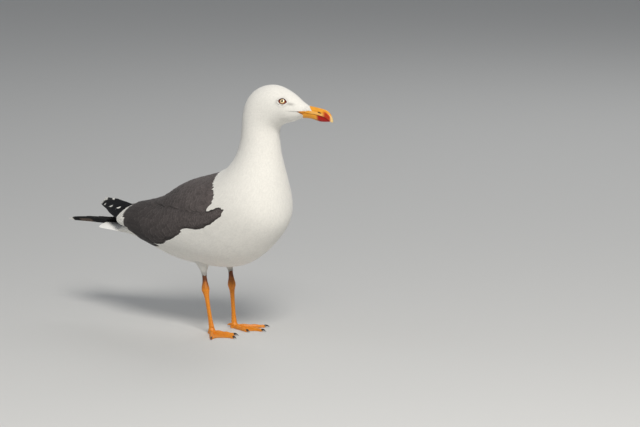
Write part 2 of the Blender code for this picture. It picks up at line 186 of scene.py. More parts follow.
def meshPiece(name, points, material, colour=None, faces=None, maps=None, sharp=0.0, lie=None):
    # one mesh piece from points in millimetres of the bird's frame and blocks of faces of one size each,
    # a closed tube if none are given; lie holds the direction that each point's shading leans to
    faces = faces or tubeFaces(*np.shape(points)[:2])
    points = np.asarray(points, float).reshape(-1, 3) * 0.001 + birdOrigin
    blocks = [np.asarray(block, np.int32) for block in faces]
    if volumeOf(points, blocks) < 0.0:
        blocks = [block[:, ::-1] for block in blocks]
    corners = np.concatenate([block.ravel() for block in blocks])
    sizes = np.concatenate([np.full(len(block), block.shape[1], np.int32) for block in blocks])
    mesh = bpy.data.meshes.new(name)
    mesh.vertices.add(len(points))
    mesh.vertices.foreach_set("co", points.ravel())
    mesh.loops.add(len(corners))
    mesh.loops.foreach_set("vertex_index", corners)
    mesh.polygons.add(len(sizes))
    mesh.polygons.foreach_set("loop_start", np.concatenate([[0], np.cumsum(sizes)[:-1]]).astype(np.int32))
    mesh.polygons.foreach_set("loop_total", sizes)
    mesh.update(calc_edges=True)
    for mapName, places in (maps or {}).items():
        layer = mesh.uv_layers.new(name=mapName)
        layer.uv.foreach_set("vector", np.asarray(places, np.float32).reshape(-1, 2)[corners].ravel())
    if colour is not None:
        tint = mesh.color_attributes.new(name="tint", type="FLOAT_COLOR", domain="POINT")
        colour = np.asarray(colour, np.float32).reshape(-1, 3)
        opaque = np.ones((len(colour), 1), np.float32)
        tint.data.foreach_set("color", np.concatenate([colour, opaque], axis=1).ravel())
    mesh.shade_smooth()
    if sharp:
        mesh.set_sharp_from_angle(angle=math.radians(sharp))
    if lie is not None:
        own = np.zeros(len(points) * 3, np.float32)
        mesh.vertex_normals.foreach_get("vector", own)
        mesh.normals_split_custom_set_from_vertices(unit(own.reshape(-1, 3) + lie))
    mesh.materials.append(material)
    return newObject(name, mesh)


def splineAt(values, t):
    # the natural cubic spline through values at 0, 1, 2 and so on, read at t, and straight beyond its ends
    y = np.asarray(values, float)
    n = len(y)
    system = np.eye(n) * 4.0 + np.eye(n, k=1) + np.eye(n, k=-1)
    system[0, :2] = (1.0, 0.0)
    system[-1, -2:] = (0.0, 1.0)
    bend = np.zeros(y.shape)
    bend[1:-1] = 6.0 * (y[2:] - 2.0 * y[1:-1] + y[:-2])
    bend = np.linalg.solve(system, bend)
    t = np.asarray(t, float)
    inside = np.clip(t, 0.0, n - 1.0)
    i = np.clip(np.floor(inside).astype(int), 0, n - 2)
    f, past = inside - i, t - inside
    if y.ndim > 1:
        f, past = f[..., None], past[..., None]
    g = 1.0 - f
    slope = y[i + 1] - y[i] + ((1.0 - 3.0 * g * g) * bend[i] + (3.0 * f * f - 1.0) * bend[i + 1]) / 6.0
    value = g * y[i] + f * y[i + 1] + (g * (g * g - 1.0) * bend[i] + f * (f * f - 1.0) * bend[i + 1]) / 6.0
    return value + past * slope


def tableAt(table, u):
    return np.interp(u, list(table), [math.radians(v) for v in table.values()])


# The body's form has nearly the same sections as the solids. A place on it is given by its section and
# by its angle from the back.
body = {
    "headTurn": 6.0,  # degrees, towards the bird's left
    "neckAxis": 75.0,
    "turnEnds": 9.8,  # the section where the head's turn has faded out
    "turnFades": 3.2,  # over how many sections
    "sections": (
        # back x, z, front x, z, half width
        (159.5, 338.0, 148.0, 320.5, 7.6),  # face
        (146.0, 344.8, 139.0, 316.5, 12.4),
        (132.5, 353.0, 129.5, 313.2, 16.6),
        (116.0, 360.2, 119.5, 310.5, 19.3),  # eye
        (98.0, 363.3, 111.0, 306.5, 21.8),
        (75.5, 358.3, 105.5, 301.8, 23.8),
        (57.0, 343.0, 103.0, 296.0, 25.2),  # nape
        (48.5, 321.0, 102.5, 289.0, 25.8),
        (46.5, 298.5, 103.0, 279.5, 26.6),
        (42.3, 275.0, 105.5, 260.5, 29.5),
        (32.5, 253.5, 111.0, 234.0, 37.0),  # foot of the neck
        (12.0, 234.0, 117.0, 203.0, 47.5),
        (-12.0, 223.0, 114.5, 165.5, 55.5),  # breast
        (-38.0, 214.5, 84.0, 128.0, 58.5),
        (-66.0, 203.5, 40.0, 99.5, 58.0),
        (-96.0, 187.0, -18.0, 92.3, 54.5),  # belly
        (-125.0, 173.5, -77.0, 97.0, 46.5),
        (-151.0, 160.0, -124.0, 109.5, 36.0),  # vent
        (-174.0, 145.0, -164.0, 118.8, 27.0),
        (-196.0, 127.5, -192.0, 123.5, 23.0),  # foot of the tail
    ),
    "coatDepth": (
        0.5, 0.8, 0.9, 1.1, 1.3, 1.5, 1.7, 2.0, 2.2, 2.6,
        2.8, 3.0, 3.2, 3.4, 3.4, 3.2, 3.0, 2.6, 2.0, 1.4,
    ),
}
lastSection = len(body["sections"]) - 1.0

folded = {
    # how far the mantle and the wing reach down each side at each section, in degrees from the back
    "mantleEdge": {
        11: 60, 11.5: 74, 12: 83, 12.5: 84, 13: 75, 13.5: 66,
        14: 57, 14.5: 48, 15: 39, 16: 24, 16.6: 12, 17.3: 1.8,
    },
    "wingEdge": {
        11.8: 97, 12.4: 102, 13: 101, 13.5: 97, 14.15: 91,
        14.9: 100, 15.6: 112, 16.4: 116, 17.3: 112, 18.2: 96,
    },
    "mantleRear": 17.3,
    "wingRear": 18.05,
    "rise": 17.0,  # of the wings over the rump, where they meet like a roof
    "riseFrom": 15.3,
    "riseOver": 2.7,  # sections
    "mantleDepth": 3.4,
    "wingDepth": 1.9,
}


def turnHead(points, share=1.0):
    # points turned about the neck's upright axis, by a share of the head's turn
    angle = math.radians(body["headTurn"]) * np.asarray(share, float)
    x, y = points[..., 0] - body["neckAxis"], points[..., 1]
    c, s = np.cos(angle), np.sin(angle)
    return stacked(body["neckAxis"] + x * c - y * s, x * s + y * c, points[..., 2])


def fleshStraight(u, angle, proud=0.0):
    # a half-width across and a back-to-front reach at each section u, swept by cos and sin of the angle
    # from the back line (0) down the left side to the front line (pi), before the head turns
    u, angle, proud = arrays(u, angle, proud)
    rows = splineAt(body["sections"], u)
    back, front = rows[..., 0:2], rows[..., 2:4]
    reach = (back - front) / 2
    depth = np.linalg.norm(reach, axis=-1)
    side = (back + front) / 2 + times(np.cos(angle) * (1.0 + proud / depth), reach)
    return stacked(side[..., 0], np.sin(angle) * (rows[..., 4] + proud), side[..., 1])


def flesh(u, angle, proud=0.0):
    share = ease((body["turnEnds"] - np.asarray(u, float)) / body["turnFades"])
    return turnHead(fleshStraight(u, angle, proud), share)


def roofRise(u):
    return folded["rise"] * fraction((u - folded["riseFrom"]) / folded["riseOver"]) ** 1.3


def mantleThick(s, t, u):
    # thickest along the back behind the shoulders, thin at the front, with the roof's rise behind
    a = fraction(abs(t))
    s = fraction(s)
    thick = 3.4 + 2.6 * (1.0 - a**6) * np.sin(math.pi * fraction(s * 1.15 + 0.1)) ** 0.6
    thick = thick + 1.2 * a**3 * fraction(4.0 * s) * fraction(4.0 - 5.0 * s)
    return thick * (0.55 + 0.45 * fraction(s * 6.0)) + roofRise(u)


def wingThick(s, t, u):
    # thick along its middle, most of all at the wrist, and tucked into the flank at its lower edge
    t = fraction(t)
    s = np.clip(s, 0.0, 1.1)
    thick = 2.0 + 2.4 * np.sin(math.pi * t) ** 0.7 * fraction(s * 8.0)
    thick = thick + 1.4 * bell((s - 0.07) / 0.07) * np.sin(math.pi * t)
    tucked = ease((t - 0.75) / 0.25) * (1.0 - ease((s - 0.50) / 0.2))
    return thick * (1.0 - 0.9 * tucked) + roofRise(u) * (1.0 - t) ** 1.2


def wingFront(t):
    t = fraction(t)
    upper, lower = fraction(0.45 - t) / 0.45, fraction(t - 0.6) / 0.4
    return 11.9 + 0.5 * upper**2 + 0.35 * lower**2


def wingRear(t):
    return folded["wingRear"] - 0.75 * fraction(t) ** 2.5


def mantleFront(t):
    return 10.8 + 1.2 * fraction(abs(t)) ** 2.6


def foldedOver(u, angle):
    # how proud of the flesh the folded wings and mantle stand, how much of a place they cover (0 to 1),
    # and the depth of their coat
    a = abs(angle)
    mantleLow, wingLow = tableAt(folded["mantleEdge"], u), tableAt(folded["wingEdge"], u)
    t = a / mantleLow
    s = (u - mantleFront(t)) / (folded["mantleRear"] - mantleFront(t))
    onMantle = ease(s / 0.05) * (t <= 1.0)
    tall = mantleThick(s, t, u) * onMantle
    t = (a - mantleLow) / np.maximum(wingLow - mantleLow, 0.05)
    s = (u - wingFront(t)) / (wingRear(t) - wingFront(t))
    onWing = ease(s / 0.03) * (1.0 - ease((t - 0.95) / 0.05)) * (1.0 - ease((s - 0.985) / 0.03)) * (t > 0.0)
    depth = np.where(onMantle > onWing, folded["mantleDepth"], folded["wingDepth"])
    return tall + wingThick(s, t, u) * onWing, np.maximum(onMantle, onWing), depth


def coatDepth(u):
    return np.interp(u, np.arange(len(body["coatDepth"])), body["coatDepth"])


def skinOver(u, angle, lift=0.0):
    # the skin: the solids' surface, sunk by the depth of the coat there
    tall, cover, depth = foldedOver(u, angle)
    return flesh(u, angle, tall - (cover * depth + (1.0 - cover) * coatDepth(u)) + lift)


# The white coat's ground swells to pass over the edge of the folded wing and mantle: it has their height,
# as the highest within "reach" grid steps, then averaged within "blur" steps.
swell = {
    "from": 9.5, "to": 19.0, "rows": 430, "columns": 500, "reach": 5, "blur": 8, "proud": 1.0,
    "ends": 16.3, "fades": 0.6,  # behind this the dark edge lies over the white instead
}


def spreadOut(grid, steps, how):
    # each cell from its neighbours within the steps, first along the rows, then round the columns
    rows = np.arange(len(grid))
    grid = how([grid[np.clip(rows + k, 0, len(grid) - 1)] for k in range(-steps, steps + 1)], axis=0)
    return how([np.roll(grid, k, axis=1) for k in range(-steps, steps + 1)], axis=0)


swellU, swellAngle = crossed(
    np.linspace(swell["from"], swell["to"], swell["rows"]),
    np.linspace(-math.pi, math.pi, swell["columns"], endpoint=False),
)
swellTall, swellCover, _ = foldedOver(swellU, swellAngle)
swellGrid = spreadOut(swellTall + swell["proud"] * (swellCover > 0.5), swell["reach"], np.max)
swollen = ease((swell["ends"] - swellU) / swell["fades"])
swellGrid = swellTall * (1.0 - swollen) + spreadOut(swellGrid, swell["blur"], np.mean) * swollen


def whiteOver(u, angle, lift=0.0):
    # the ground under the white feathers: the flesh less the coat's depth, with the swelling read off
    # its grid between the four nearest cells
    u, angle = arrays(u, angle)
    row = fraction((u - swell["from"]) / (swell["to"] - swell["from"])) * (swell["rows"] - 1.001)
    column = (angle / (2.0 * math.pi) + 0.5) % 1.0 * swell["columns"]
    i, j = row.astype(int), column.astype(int) % swell["columns"]
    f, g = row - i, column - column.astype(int)
    after = (j + 1) % swell["columns"]
    tall = (1.0 - f) * ((1.0 - g) * swellGrid[i, j] + g * swellGrid[i, after])
    tall = tall + f * ((1.0 - g) * swellGrid[i + 1, j] + g * swellGrid[i + 1, after])
    return flesh(u, angle, tall * (u > swell["from"]) - coatDepth(u) + lift)


def mantleOver(s, t, lift=0.0):
    # the mantle's skin, by its share from front to rear and its share from the back to the edge
    s, t = arrays(s, t)
    u = mantleFront(t) * (1.0 - s) + folded["mantleRear"] * s
    return flesh(u, t * tableAt(folded["mantleEdge"], u), mantleThick(s, t, u) - folded["mantleDepth"] + lift)


def wingPlace(s, t):
    u = wingFront(t) * (1.0 - s) + wingRear(t) * s
    inwards = 0.03 * fraction((u - folded["mantleRear"]) / 0.3)
    top = tableAt(folded["mantleEdge"], u) + 0.021 - inwards
    return u, top + t * (tableAt(folded["wingEdge"], u) - top)


def wingOver(sign):
    def inside(s, t, lift):
        u, angle = wingPlace(s, t)
        return flesh(u, sign * angle, wingThick(s, t, u) - folded["wingDepth"] + lift)

    def ground(s, t, lift=0.0):
        # straight on, past the wing's end
        s, t, lift = arrays(s, t, lift)
        held = np.minimum(s, 0.96)
        here = inside(held, t, lift)
        return here + times((s - held) / 0.05, here - inside(held - 0.05, t, lift))

    return ground


eyes = {
    "radius": 6.4,
    "place": (124.0, 11.8, 342.1),  # middle of the left eyeball on the unturned head
    "pupil": 1.3,
    "iris": 3.9,
    "opening": (3.5, 2.6),  # half width and half height inside the lids
    "ring": (6.9, 4.5),
    "tilt": -0.07,  # how far it drops to the front
    "irisColours": ((0.84, 0.68, 0.36), (0.60, 0.42, 0.17)),  # by the pupil, at the rim
    "pupilColour": (0.004, 0.004, 0.004),
    "rimColour": (0.03, 0.012, 0.01),
    "ringColours": ((0.20, 0.013, 0.003), (0.09, 0.004, 0.002)),  # inside, outside
    "browColour": (0.045, 0.005, 0.010),
    "lowerLidColour": (0.30, 0.13, 0.06),
}


def aroundEye(x, z, size):
    # 1 on an almond of that half width and half height about the eye, less inside
    return np.sqrt(((x - eyes["place"][0]) / size[0]) ** 2 + (abs(z - eyes["place"][2]) / size[1]) ** 1.6)


gape = {
    "corner": 145.0,
    # lines as x, z: between the lips, the feathers' lower edge over them, and the cheek's under them
    "mouth": ((140.0, 330.3), (146.0, 330.3), (154.6, 329.8), (163.0, 328.9)),
    "above": ((145.0, 330.4), (151.0, 330.9), (158.8, 331.6), (164.0, 332.7), (169.0, 332.2)),
    "below": ((145.0, 330.2), (149.5, 327.8), (153.5, 324.7), (156.0, 320.0)),
}


def heightOn(line, x):
    return np.interp(x, *np.array(line).T)


def bareFace(x, z):
    # the bare skin between the bill and the corner of the mouth
    return (x > gape["corner"]) & (z < heightOn(gape["above"], x)) & (z > heightOn(gape["below"], x))


# One set of markings, with painted shade in the face's creases, serves the skin and the coat.
plumage = {
    "white": (0.83, 0.81, 0.755),
    "greyWhite": (0.40, 0.385, 0.36),
    "slate": (0.074, 0.062, 0.060),
    "slateEdge": (0.135, 0.115, 0.108),
    "black": (0.007, 0.007, 0.008),
    "dusky": (0.13, 0.095, 0.075),
    "bare": (0.62, 0.20, 0.03),
}
white, greyWhite, slate, slateEdge, black, dusky, bareSkin = (np.array(v) for v in plumage.values())


def mix(a, b, share):
    share = fraction(np.asarray(share, float))[..., None]
    return a * (1.0 - share) + b * share


def faceCreaseShade(u, angle):
    # painted shade of the face's creases: faint grey in front of the eye, behind it and along the line from
    # the mouth, none elsewhere
    place = fleshStraight(u, angle)
    x, z = place[..., 0] - eyes["place"][0], place[..., 2] - eyes["place"][2]
    lore = 0.9 * np.exp(-(((x - 13.0) / 4.6) ** 2) - ((z + 0.6 + 0.10 * x) / 1.8) ** 2)
    rim = 0.25 * np.exp(-((np.sqrt((x / 8.5) ** 2 + (z / 6.5) ** 2) - 1.0) / 0.22) ** 2)
    cheek = bell((place[..., 2] - 330.2) / 0.75)
    cheek = cheek * ease((place[..., 0] - 128.0) / 15.0) * (place[..., 0] < 148.0)
    return fraction(lore + rim + cheek)


def whiteAt(u, angle):
    # on the head the white is greyed by the painted shade of the face's creases
    base = mix(white, greyWhite, faceCreaseShade(u, angle) * (np.asarray(u) < 5.5))
    nape = 0.10 * ease((u - 4.5) / 2.0) * ease((10.5 - u) / 3.0) * (0.5 + 0.5 * np.cos(angle))
    return mix(base, greyWhite, nape)


def newMaterial(name, roughness, **sockets):
    material = bpy.data.materials.new(name)
    material.use_nodes = True
    tree = material.node_tree
    shader = tree.nodes["Principled BSDF"]
    shader.inputs["Roughness"].default_value = roughness
    for socket, value in sockets.items():
        shader.inputs[socket.replace("_", " ")].default_value = value
    return material, tree, shader


def addNode(tree, kind, inputs=None, **settings):
    node = tree.nodes.new(kind)
    for key, value in settings.items():
        setattr(node, key, value)
    for key, value in (inputs or {}).items():
        if isinstance(value, bpy.types.NodeSocket):
            tree.links.new(value, node.inputs[key])
        else:
            node.inputs[key].default_value = value
    return node


def blendColours(tree, share, a, b, how="MIX"):
    node = addNode(tree, "ShaderNodeMix", data_type="RGBA", blend_type=how)
    for socket, value in ((0, share), (6, a), (7, b)):
        if isinstance(value, bpy.types.NodeSocket):
            tree.links.new(value, node.inputs[socket])
        else:
            node.inputs[socket].default_value = value
    return node.outputs[2]


def noise(tree, scale, detail, place=None):
    if place is None:
        place = addNode(tree, "ShaderNodeTexCoord").outputs["Object"]
    inputs = {"Vector": place, "Scale": scale, "Detail": detail}
    return addNode(tree, "ShaderNodeTexNoise", inputs).outputs["Fac"]


def cells(tree, scale):
    place = addNode(tree, "ShaderNodeTexCoord").outputs["Object"]
    return addNode(tree, "ShaderNodeTexVoronoi", {"Vector": place, "Scale": scale}).outputs["Distance"]


def ranged(tree, value, low, high):
    # from 0 at low to 1 at high
    inputs = {"Value": value, "From Min": low, "From Max": high}
    return addNode(tree, "ShaderNodeMapRange", inputs).outputs[0]


def tinted(tree, shader, pattern, low, high, base=None):
    # the base, or else the piece's own tint, times a shade between low and high
    if base is None:
        base = addNode(tree, "ShaderNodeVertexColor", layer_name="tint").outputs["Color"]
    shade = blendColours(tree, pattern, (*low, 1.0), (*high, 1.0))
    tree.links.new(blendColours(tree, 1.0, base, shade, "MULTIPLY"), shader.inputs["Base Color"])


def raised(tree, shader, pattern, strength, distance):
    bump = addNode(tree, "ShaderNodeBump", {"Height": pattern, "Strength": strength, "Distance": distance})
    tree.links.new(bump.outputs["Normal"], shader.inputs["Normal"])


def featherMaterial(name, roughness, mottle, sheen, barbs, gloss=0.3):
    # the piece's tint, mottled by fine noise, with barbs as slanting waves across each vane
    sockets = {"Sheen_Weight": sheen, "Sheen_Roughness": 0.5, "Specular_IOR_Level": gloss}
    material, tree, shader = newMaterial(name, roughness, **sockets)
    spots = ranged(tree, noise(tree, 420.0, 4.0), 0.3, 0.7)
    tinted(tree, shader, spots, (1.0 - mottle,) * 3, (1.0 + mottle,) * 3)
    vane = addNode(tree, "ShaderNodeUVMap", uv_map="vane").outputs["UV"]
    waves = {"Vector": vane, "Scale": barbs, "Distortion": 1.2, "Detail": 1.0}
    wave = addNode(tree, "ShaderNodeTexWave", waves, wave_type="BANDS", bands_direction="DIAGONAL")
    raised(tree, shader, wave.outputs["Fac"], 0.25, 0.0002)
    return material


whiteCoat = featherMaterial("white_feathers", 0.85, 0.035, 0.2, 30.0)
slateCoat = featherMaterial("slate_feathers", 0.75, 0.18, 0.06, 30.0, 0.2)
blackCoat = featherMaterial("black_feathers", 0.5, 0.10, 0.0, 40.0, 0.12)

pluckedSkin, tree, shader = newMaterial("plucked_skin", 0.8, Sheen_Weight=0.1)
pores = cells(tree, 900.0)
tinted(tree, shader, pores, (1.0, 1.0, 1.0), (0.82, 0.82, 0.82))
raised(tree, shader, pores, 0.3, 0.0003)

# Feathers are closed vanes. A form gives the stations along one, and the places and bulges round it.
small = {
    "stations": (0.0, 0.45, 0.8, 1.0),
    "across": (-1.0, 0.0, 1.0, 0.0),
    "bulge": (0.0, 1.0, 0.0, -1.0),
    "thick": 0.06,
    "camber": 0.03,
}
bending = dict(small, stations=(0.0, 0.22, 0.42, 0.6, 0.74, 0.87, 1.0))  # for those that pass over an edge
large = {
    "stations": (0.0, 0.3, 0.55, 0.75, 0.87, 0.95, 1.0),
    "across": (-1.0, -0.5, 0.0, 0.5, 1.0, 0.5, 0.0, -0.5),
    "bulge": (0.0, 0.6, 1.0, 0.6, 0.0, -0.6, -1.0, -0.6),
    "thick": 0.16,
    "camber": 0.06,
}
quill = {
    "stations": tuple(np.linspace(0.0, 1.0, 22) ** 0.85),
    "across": (
        -1.0, -0.72, -0.36, -0.05, 0.0, 0.05, 0.36, 0.72,
        1.0, 0.72, 0.36, 0.05, 0.0, -0.05, -0.36, -0.72,
    ),
    "bulge": (0.0, 0.6, 0.75, 0.8, 1.9, 0.8, 0.75, 0.6, 0.0, -0.6, -0.75, -0.8, -1.6, -0.8, -0.75, -0.6),
    "thick": 0.22,
    "camber": 0.05,
}

primary = {
    "stations": (*np.linspace(0.0, 0.7, 8), *np.linspace(0.7, 1.0, 37)[1:]),
    "across": (
        -1.0, -0.6, -0.05, 0.0, 0.05, *np.linspace(0.3, 1.0, 15),
        *np.linspace(0.95, 0.3, 14), 0.05, 0.0, -0.05, -0.6,
    ),
    "bulge": (
        0.0, 0.7, 0.8, 1.9, 0.8, *np.linspace(0.75, 0.0, 15) ** 0.4,
        *-(np.linspace(0.05, 0.75, 14) ** 0.4), -0.8, -1.6, -0.8, -0.7,
    ),
    "thick": 0.22,
    "camber": 0.04,
}
step = 1e-3  # by which slopes on a ground are taken


def formArrays(form):
    stations, across, bulge = (np.array(form[key]) for key in ("stations", "across", "bulge"))
    return stations[None, :, None], across[None, None, :], bulge[None, None, :]


def vaneWidth(s, tipFrom, blunt):
    # narrow at the root, full by two fifths of the length, then a rounded tip
    tip = fraction((s - tipFrom) / (1.0 - tipFrom))
    return fraction(0.3 + 0.7 * s / 0.4) * np.sqrt(np.maximum(1.0 - tip**2 * (1.0 - blunt), 0.0))


def skinMap(u, angle):
    # the unwrap of the skin: round the body across, from face to tail upwards
    return stacked(0.01 + 0.98 * (0.5 + angle / (2.0 * math.pi)), 0.06 + 0.93 * u / lastSection)


def paceAlong(ground, p, q):
    # how far a ground carries a point for each unit of p
    return np.linalg.norm(ground(p + step, q) - ground(p, q), axis=-1) / step


def paceAcross(ground, p, q):
    return np.linalg.norm(ground(p, q + step) - ground(p, q), axis=-1) / step


def vaneFaces(shape, turned=False):
    # the faces of many tubes of one shape, the other way round where turned
    count, rows, ring = shape
    starts = (np.arange(count) * rows * ring)[:, None, None]
    blocks = [block[None] + starts for block in tubeFaces(rows, ring)]
    return [np.where(turned, block[:, :, ::-1], block).reshape(-1, block.shape[2]) for block in blocks]


def layVanes(
    ground, p, q, length, width, low, high, form, root, tint,
    yaw=0.0, roll=0.0, tipFrom=0.62, blunt=0.1, patch=0.003, steps=None, rise=1.1, smooth=0.0,
):
    # each feather leaves the ground's skin at its root and rises to its tip; along it lies on the ground's
    # own curve, found from how far a small step of p and of q carries at its middle
    steps, count = steps or ground, len(p)
    each = (np.broadcast_to(np.asarray(v, float), (count,)) for v in (length, width, low, high, yaw, roll))
    length, width, low, high, yaw, roll = (v[:, None, None] for v in each)
    mid = p + 0.5 * length[:, 0, 0] / np.maximum(paceAlong(steps, p, q), 1e-6)
    here = steps(mid, q)
    alongStep, acrossStep = (steps(mid + step, q) - here) / step, (steps(mid, q + step) - here) / step
    reach = np.linalg.norm(alongStep, axis=-1)
    ahead = alongStep / reach[:, None]
    lean = (acrossStep * ahead).sum(-1)
    spread = np.linalg.norm(acrossStep - ahead * lean[:, None], axis=-1)
    reach, lean, spread = (v[:, None, None] for v in (reach, lean, spread))
    s, t, bulge = formArrays(form)
    w = vaneWidth(s, tipFrom, blunt)
    along, across = length * s, width / 2 * w * t
    dq = (along * np.sin(yaw) + across * np.cos(yaw)) / spread
    dp = (along * np.cos(yaw) - across * np.sin(yaw) - lean * dq) / reach
    lift = low + (high - low) * s**rise + form["camber"] * width * (1.0 - t * t) * w
    lift = lift + roll * across + form["thick"] * bulge
    pHere, qHere = p[:, None, None] + dp, q[:, None, None] + dq
    points = ground(pHere, qHere, lift)
    s, t, bulge = (np.broadcast_to(v, points.shape[:-1]) for v in (s, t, bulge))
    upwards = steps(mid, q, 1.0) - here
    mirrored = ((np.cross(alongStep, acrossStep) * upwards).sum(-1) < 0.0)[:, None, None]
    if smooth:
        # the shading of a vane's upper side leans to the ground's own outward direction
        base = steps(pHere, qHere)
        out = unit(np.cross(steps(pHere + step, qHere) - base, steps(pHere, qHere + step) - base))
        lie = smooth * np.where(mirrored[..., None], -out, out) * (bulge >= 0.0)[..., None]
    flat = patch * stacked(0.45 * t * w, 0.9 * (s - 0.5) + 0.12 * bulge)
    maps = {"OFBake": root[:, None, None, :] + flat, "vane": stacked(abs(across), along) * 0.1}
    return {
        "points": points.reshape(-1, 3),
        "faces": vaneFaces(points.shape[:3], mirrored),
        "maps": {k: v.reshape(-1, 2) for k, v in maps.items()},
        "tint": tint(s, t, pHere, qHere).reshape(-1, 3),
        "lie": lie.reshape(-1, 3) if smooth else None,
    }


def whiteTint(base, atRoot=0.93):
    # one white for each feather, a little darker at its root
    return lambda s, t, p, q: base * (atRoot + (1.0 - atRoot) * s)[..., None]


def joined(name, sets, material):
    # several sets of vanes as one piece
    starts = np.cumsum([0] + [len(one["points"]) for one in sets[:-1]])
    blocks = [block + start for one, start in zip(sets, starts) for block in one["faces"]]
    maps = {key: np.concatenate([one["maps"][key] for one in sets]) for key in sets[0]["maps"]}
    lie = None if sets[0]["lie"] is None else np.concatenate([one["lie"] for one in sets])
    points, tint = (np.concatenate([one[key] for one in sets]) for key in ("points", "tint"))
    return meshPiece(name, points, material, tint, blocks, maps, sharp=50.0, lie=lie)


def rootsDown(ground, fine, lines, spacing, apart, jitter, short=0.0):
    # roots down lines along a ground, one for each share of a feather's length, each line half a share
    # off the one before it, and all moved a little by chance
    rootP, rootQ = [], []
    for k, q in enumerate(lines):
        line = ground(fine, np.full_like(fine, q))
        steps = np.linalg.norm(np.diff(line, axis=0), axis=1) / spacing
        steps = np.concatenate([[0.0], np.cumsum(steps)])
        wanted = np.arange(0.0, steps[-1] - short) + 0.5 * (k % 2)
        wanted = wanted + dice.uniform(-jitter, jitter, len(wanted))
        rootP.append(np.interp(wanted, steps, fine))
        rootQ.append(q + dice.uniform(-jitter, jitter, len(wanted)) * apart)
    return np.concatenate(rootP), np.concatenate(rootQ)


def ridden(piece, slot, *nodes):
    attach(piece, "root")
    if nodes:
        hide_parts(*nodes)


def settled(obj):
    # the object's modifiers worked into its mesh
    graph = bpy.context.evaluated_depsgraph_get()
    whole = bpy.data.meshes.new_from_object(obj.evaluated_get(graph))
    obj.modifiers.clear()
    obj.data = whole


print("skin")
skinRows = ((0.0, 6.6, 130), (6.6, 10.6, 50), (10.6, lastSection, 120))  # from, to, how many
skinColumns = 168
head, neck, trunk = (np.linspace(*rows) for rows in skinRows)
uGrid, angleGrid = crossed(np.concatenate([head, neck[1:], trunk[1:]]), around(skinColumns) - math.pi)
skinStraight = fleshStraight(uGrid, angleGrid)
eyeNear = aroundEye(skinStraight[..., 0], skinStraight[..., 2], eyes["ring"])
onHead = uGrid < 6.0
socket = -6.0 * (1.0 - ease((eyeNear - 0.35) / 0.45)) * onHead  # sinks under the eyeball
lidFold = 0.5 * bell((eyeNear - 1.15) / 0.18) * onHead  # a fold round the lids
cheekFold = -0.5 * faceCreaseShade(uGrid, angleGrid) * onHead
skinPoints = skinOver(uGrid, angleGrid, socket + lidFold + cheekFold)
_, cover, _ = foldedOver(uGrid, angleGrid)
skinTint = mix(whiteAt(uGrid, angleGrid), slate, cover)
bare = bareFace(skinStraight[..., 0], skinStraight[..., 2]) & (uGrid < 3.0)
skinTint[bare] = bareSkin
skin = meshPiece("skin", skinPoints, pluckedSkin, skinTint)

legs = {
    "y": {"right": -23.5, "left": 30.5},
    "ankle": (-13.0, 61.0),
    "heelX": {"right": -1.5, "left": -8.5},
    "heelZ": 6.5,
    "floor": -2.5,
    "yaw": {"right": -7.0, "left": 8.0},
    "spread": {"inner": -24.0, "middle": 0.0, "outer": 39.0},
    "length": {"inner": 37.0, "middle": 50.0, "outer": 45.0},
    "shinWidth": (5.4, 5.8, 7.0, 10.6, 7.2, 5.2, 5.2, 7.4),
    "shinDepth": (6.0, 6.6, 8.4, 12.2, 8.8, 6.8, 6.8, 8.8),
    "thighWidth": (28.0, 22.5, 12.6, 6.6),
    "thighDepth": (34.0, 28.0, 15.6, 7.4),
    "clawLength": 7.7,
}


def limbOver(path, widths, depths):
    # a tube of oval section carried along a path: f runs along it, q goes round it
    count = len(path) - 1.0

    def ground(f, q, lift=0.0):
        f, q, lift = arrays(f, q, lift)
        g = fraction(f) * count
        centre = splineAt(path, g)
        along = unit(splineAt(path, np.minimum(g + 0.02, count)) - splineAt(path, np.maximum(g - 0.02, 0.0)))
        centre = centre + times((f - fraction(f)) * 40.0, along)
        across = unit(np.array([0.0, 1.0, 0.0]) - along * along[..., 1:2])
        ahead = np.cross(across, along)
        w = np.maximum(splineAt(widths, g / count * (len(widths) - 1)) / 2 + lift, 0.3)
        d = np.maximum(splineAt(depths, g / count * (len(depths) - 1)) / 2 + lift, 0.3)
        return centre + times(w * np.cos(q), across) + times(d * np.sin(q), ahead)

    return ground


thighGround = {}
for side in sides:
    y, ankleX = legs["y"][side], legs["ankle"][0]
    path = (
        (ankleX - 8.0, y * 0.90, 112.0),
        (ankleX - 7.0, y * 0.93, 103.0),
        (ankleX - 5.0, y * 0.96, 93.0),
        (ankleX - 2.5, y, 82.5),
    )
    thighGround[side] = limbOver(path, legs["thighWidth"], legs["thighDepth"])
    f, q = crossed(np.linspace(0.0, 1.0, 24), around(40))
    whole = white * np.ones((f.size, 1))
    thigh = meshPiece(f"thigh_skin_{side}", thighGround[side](f, q, -0.6), pluckedSkin, whole)
    union = skin.modifiers.new("thigh", "BOOLEAN")
    union.operation, union.solver, union.object = "UNION", "EXACT", thigh
    settled(skin)
    bpy.data.objects.remove(thigh, do_unlink=True)
covered = ("head", "neck", "trunk", "mantle", "wing_right", "wing_left", "thigh_right", "thigh_left")
ridden(skin, "white_plumage", *covered)

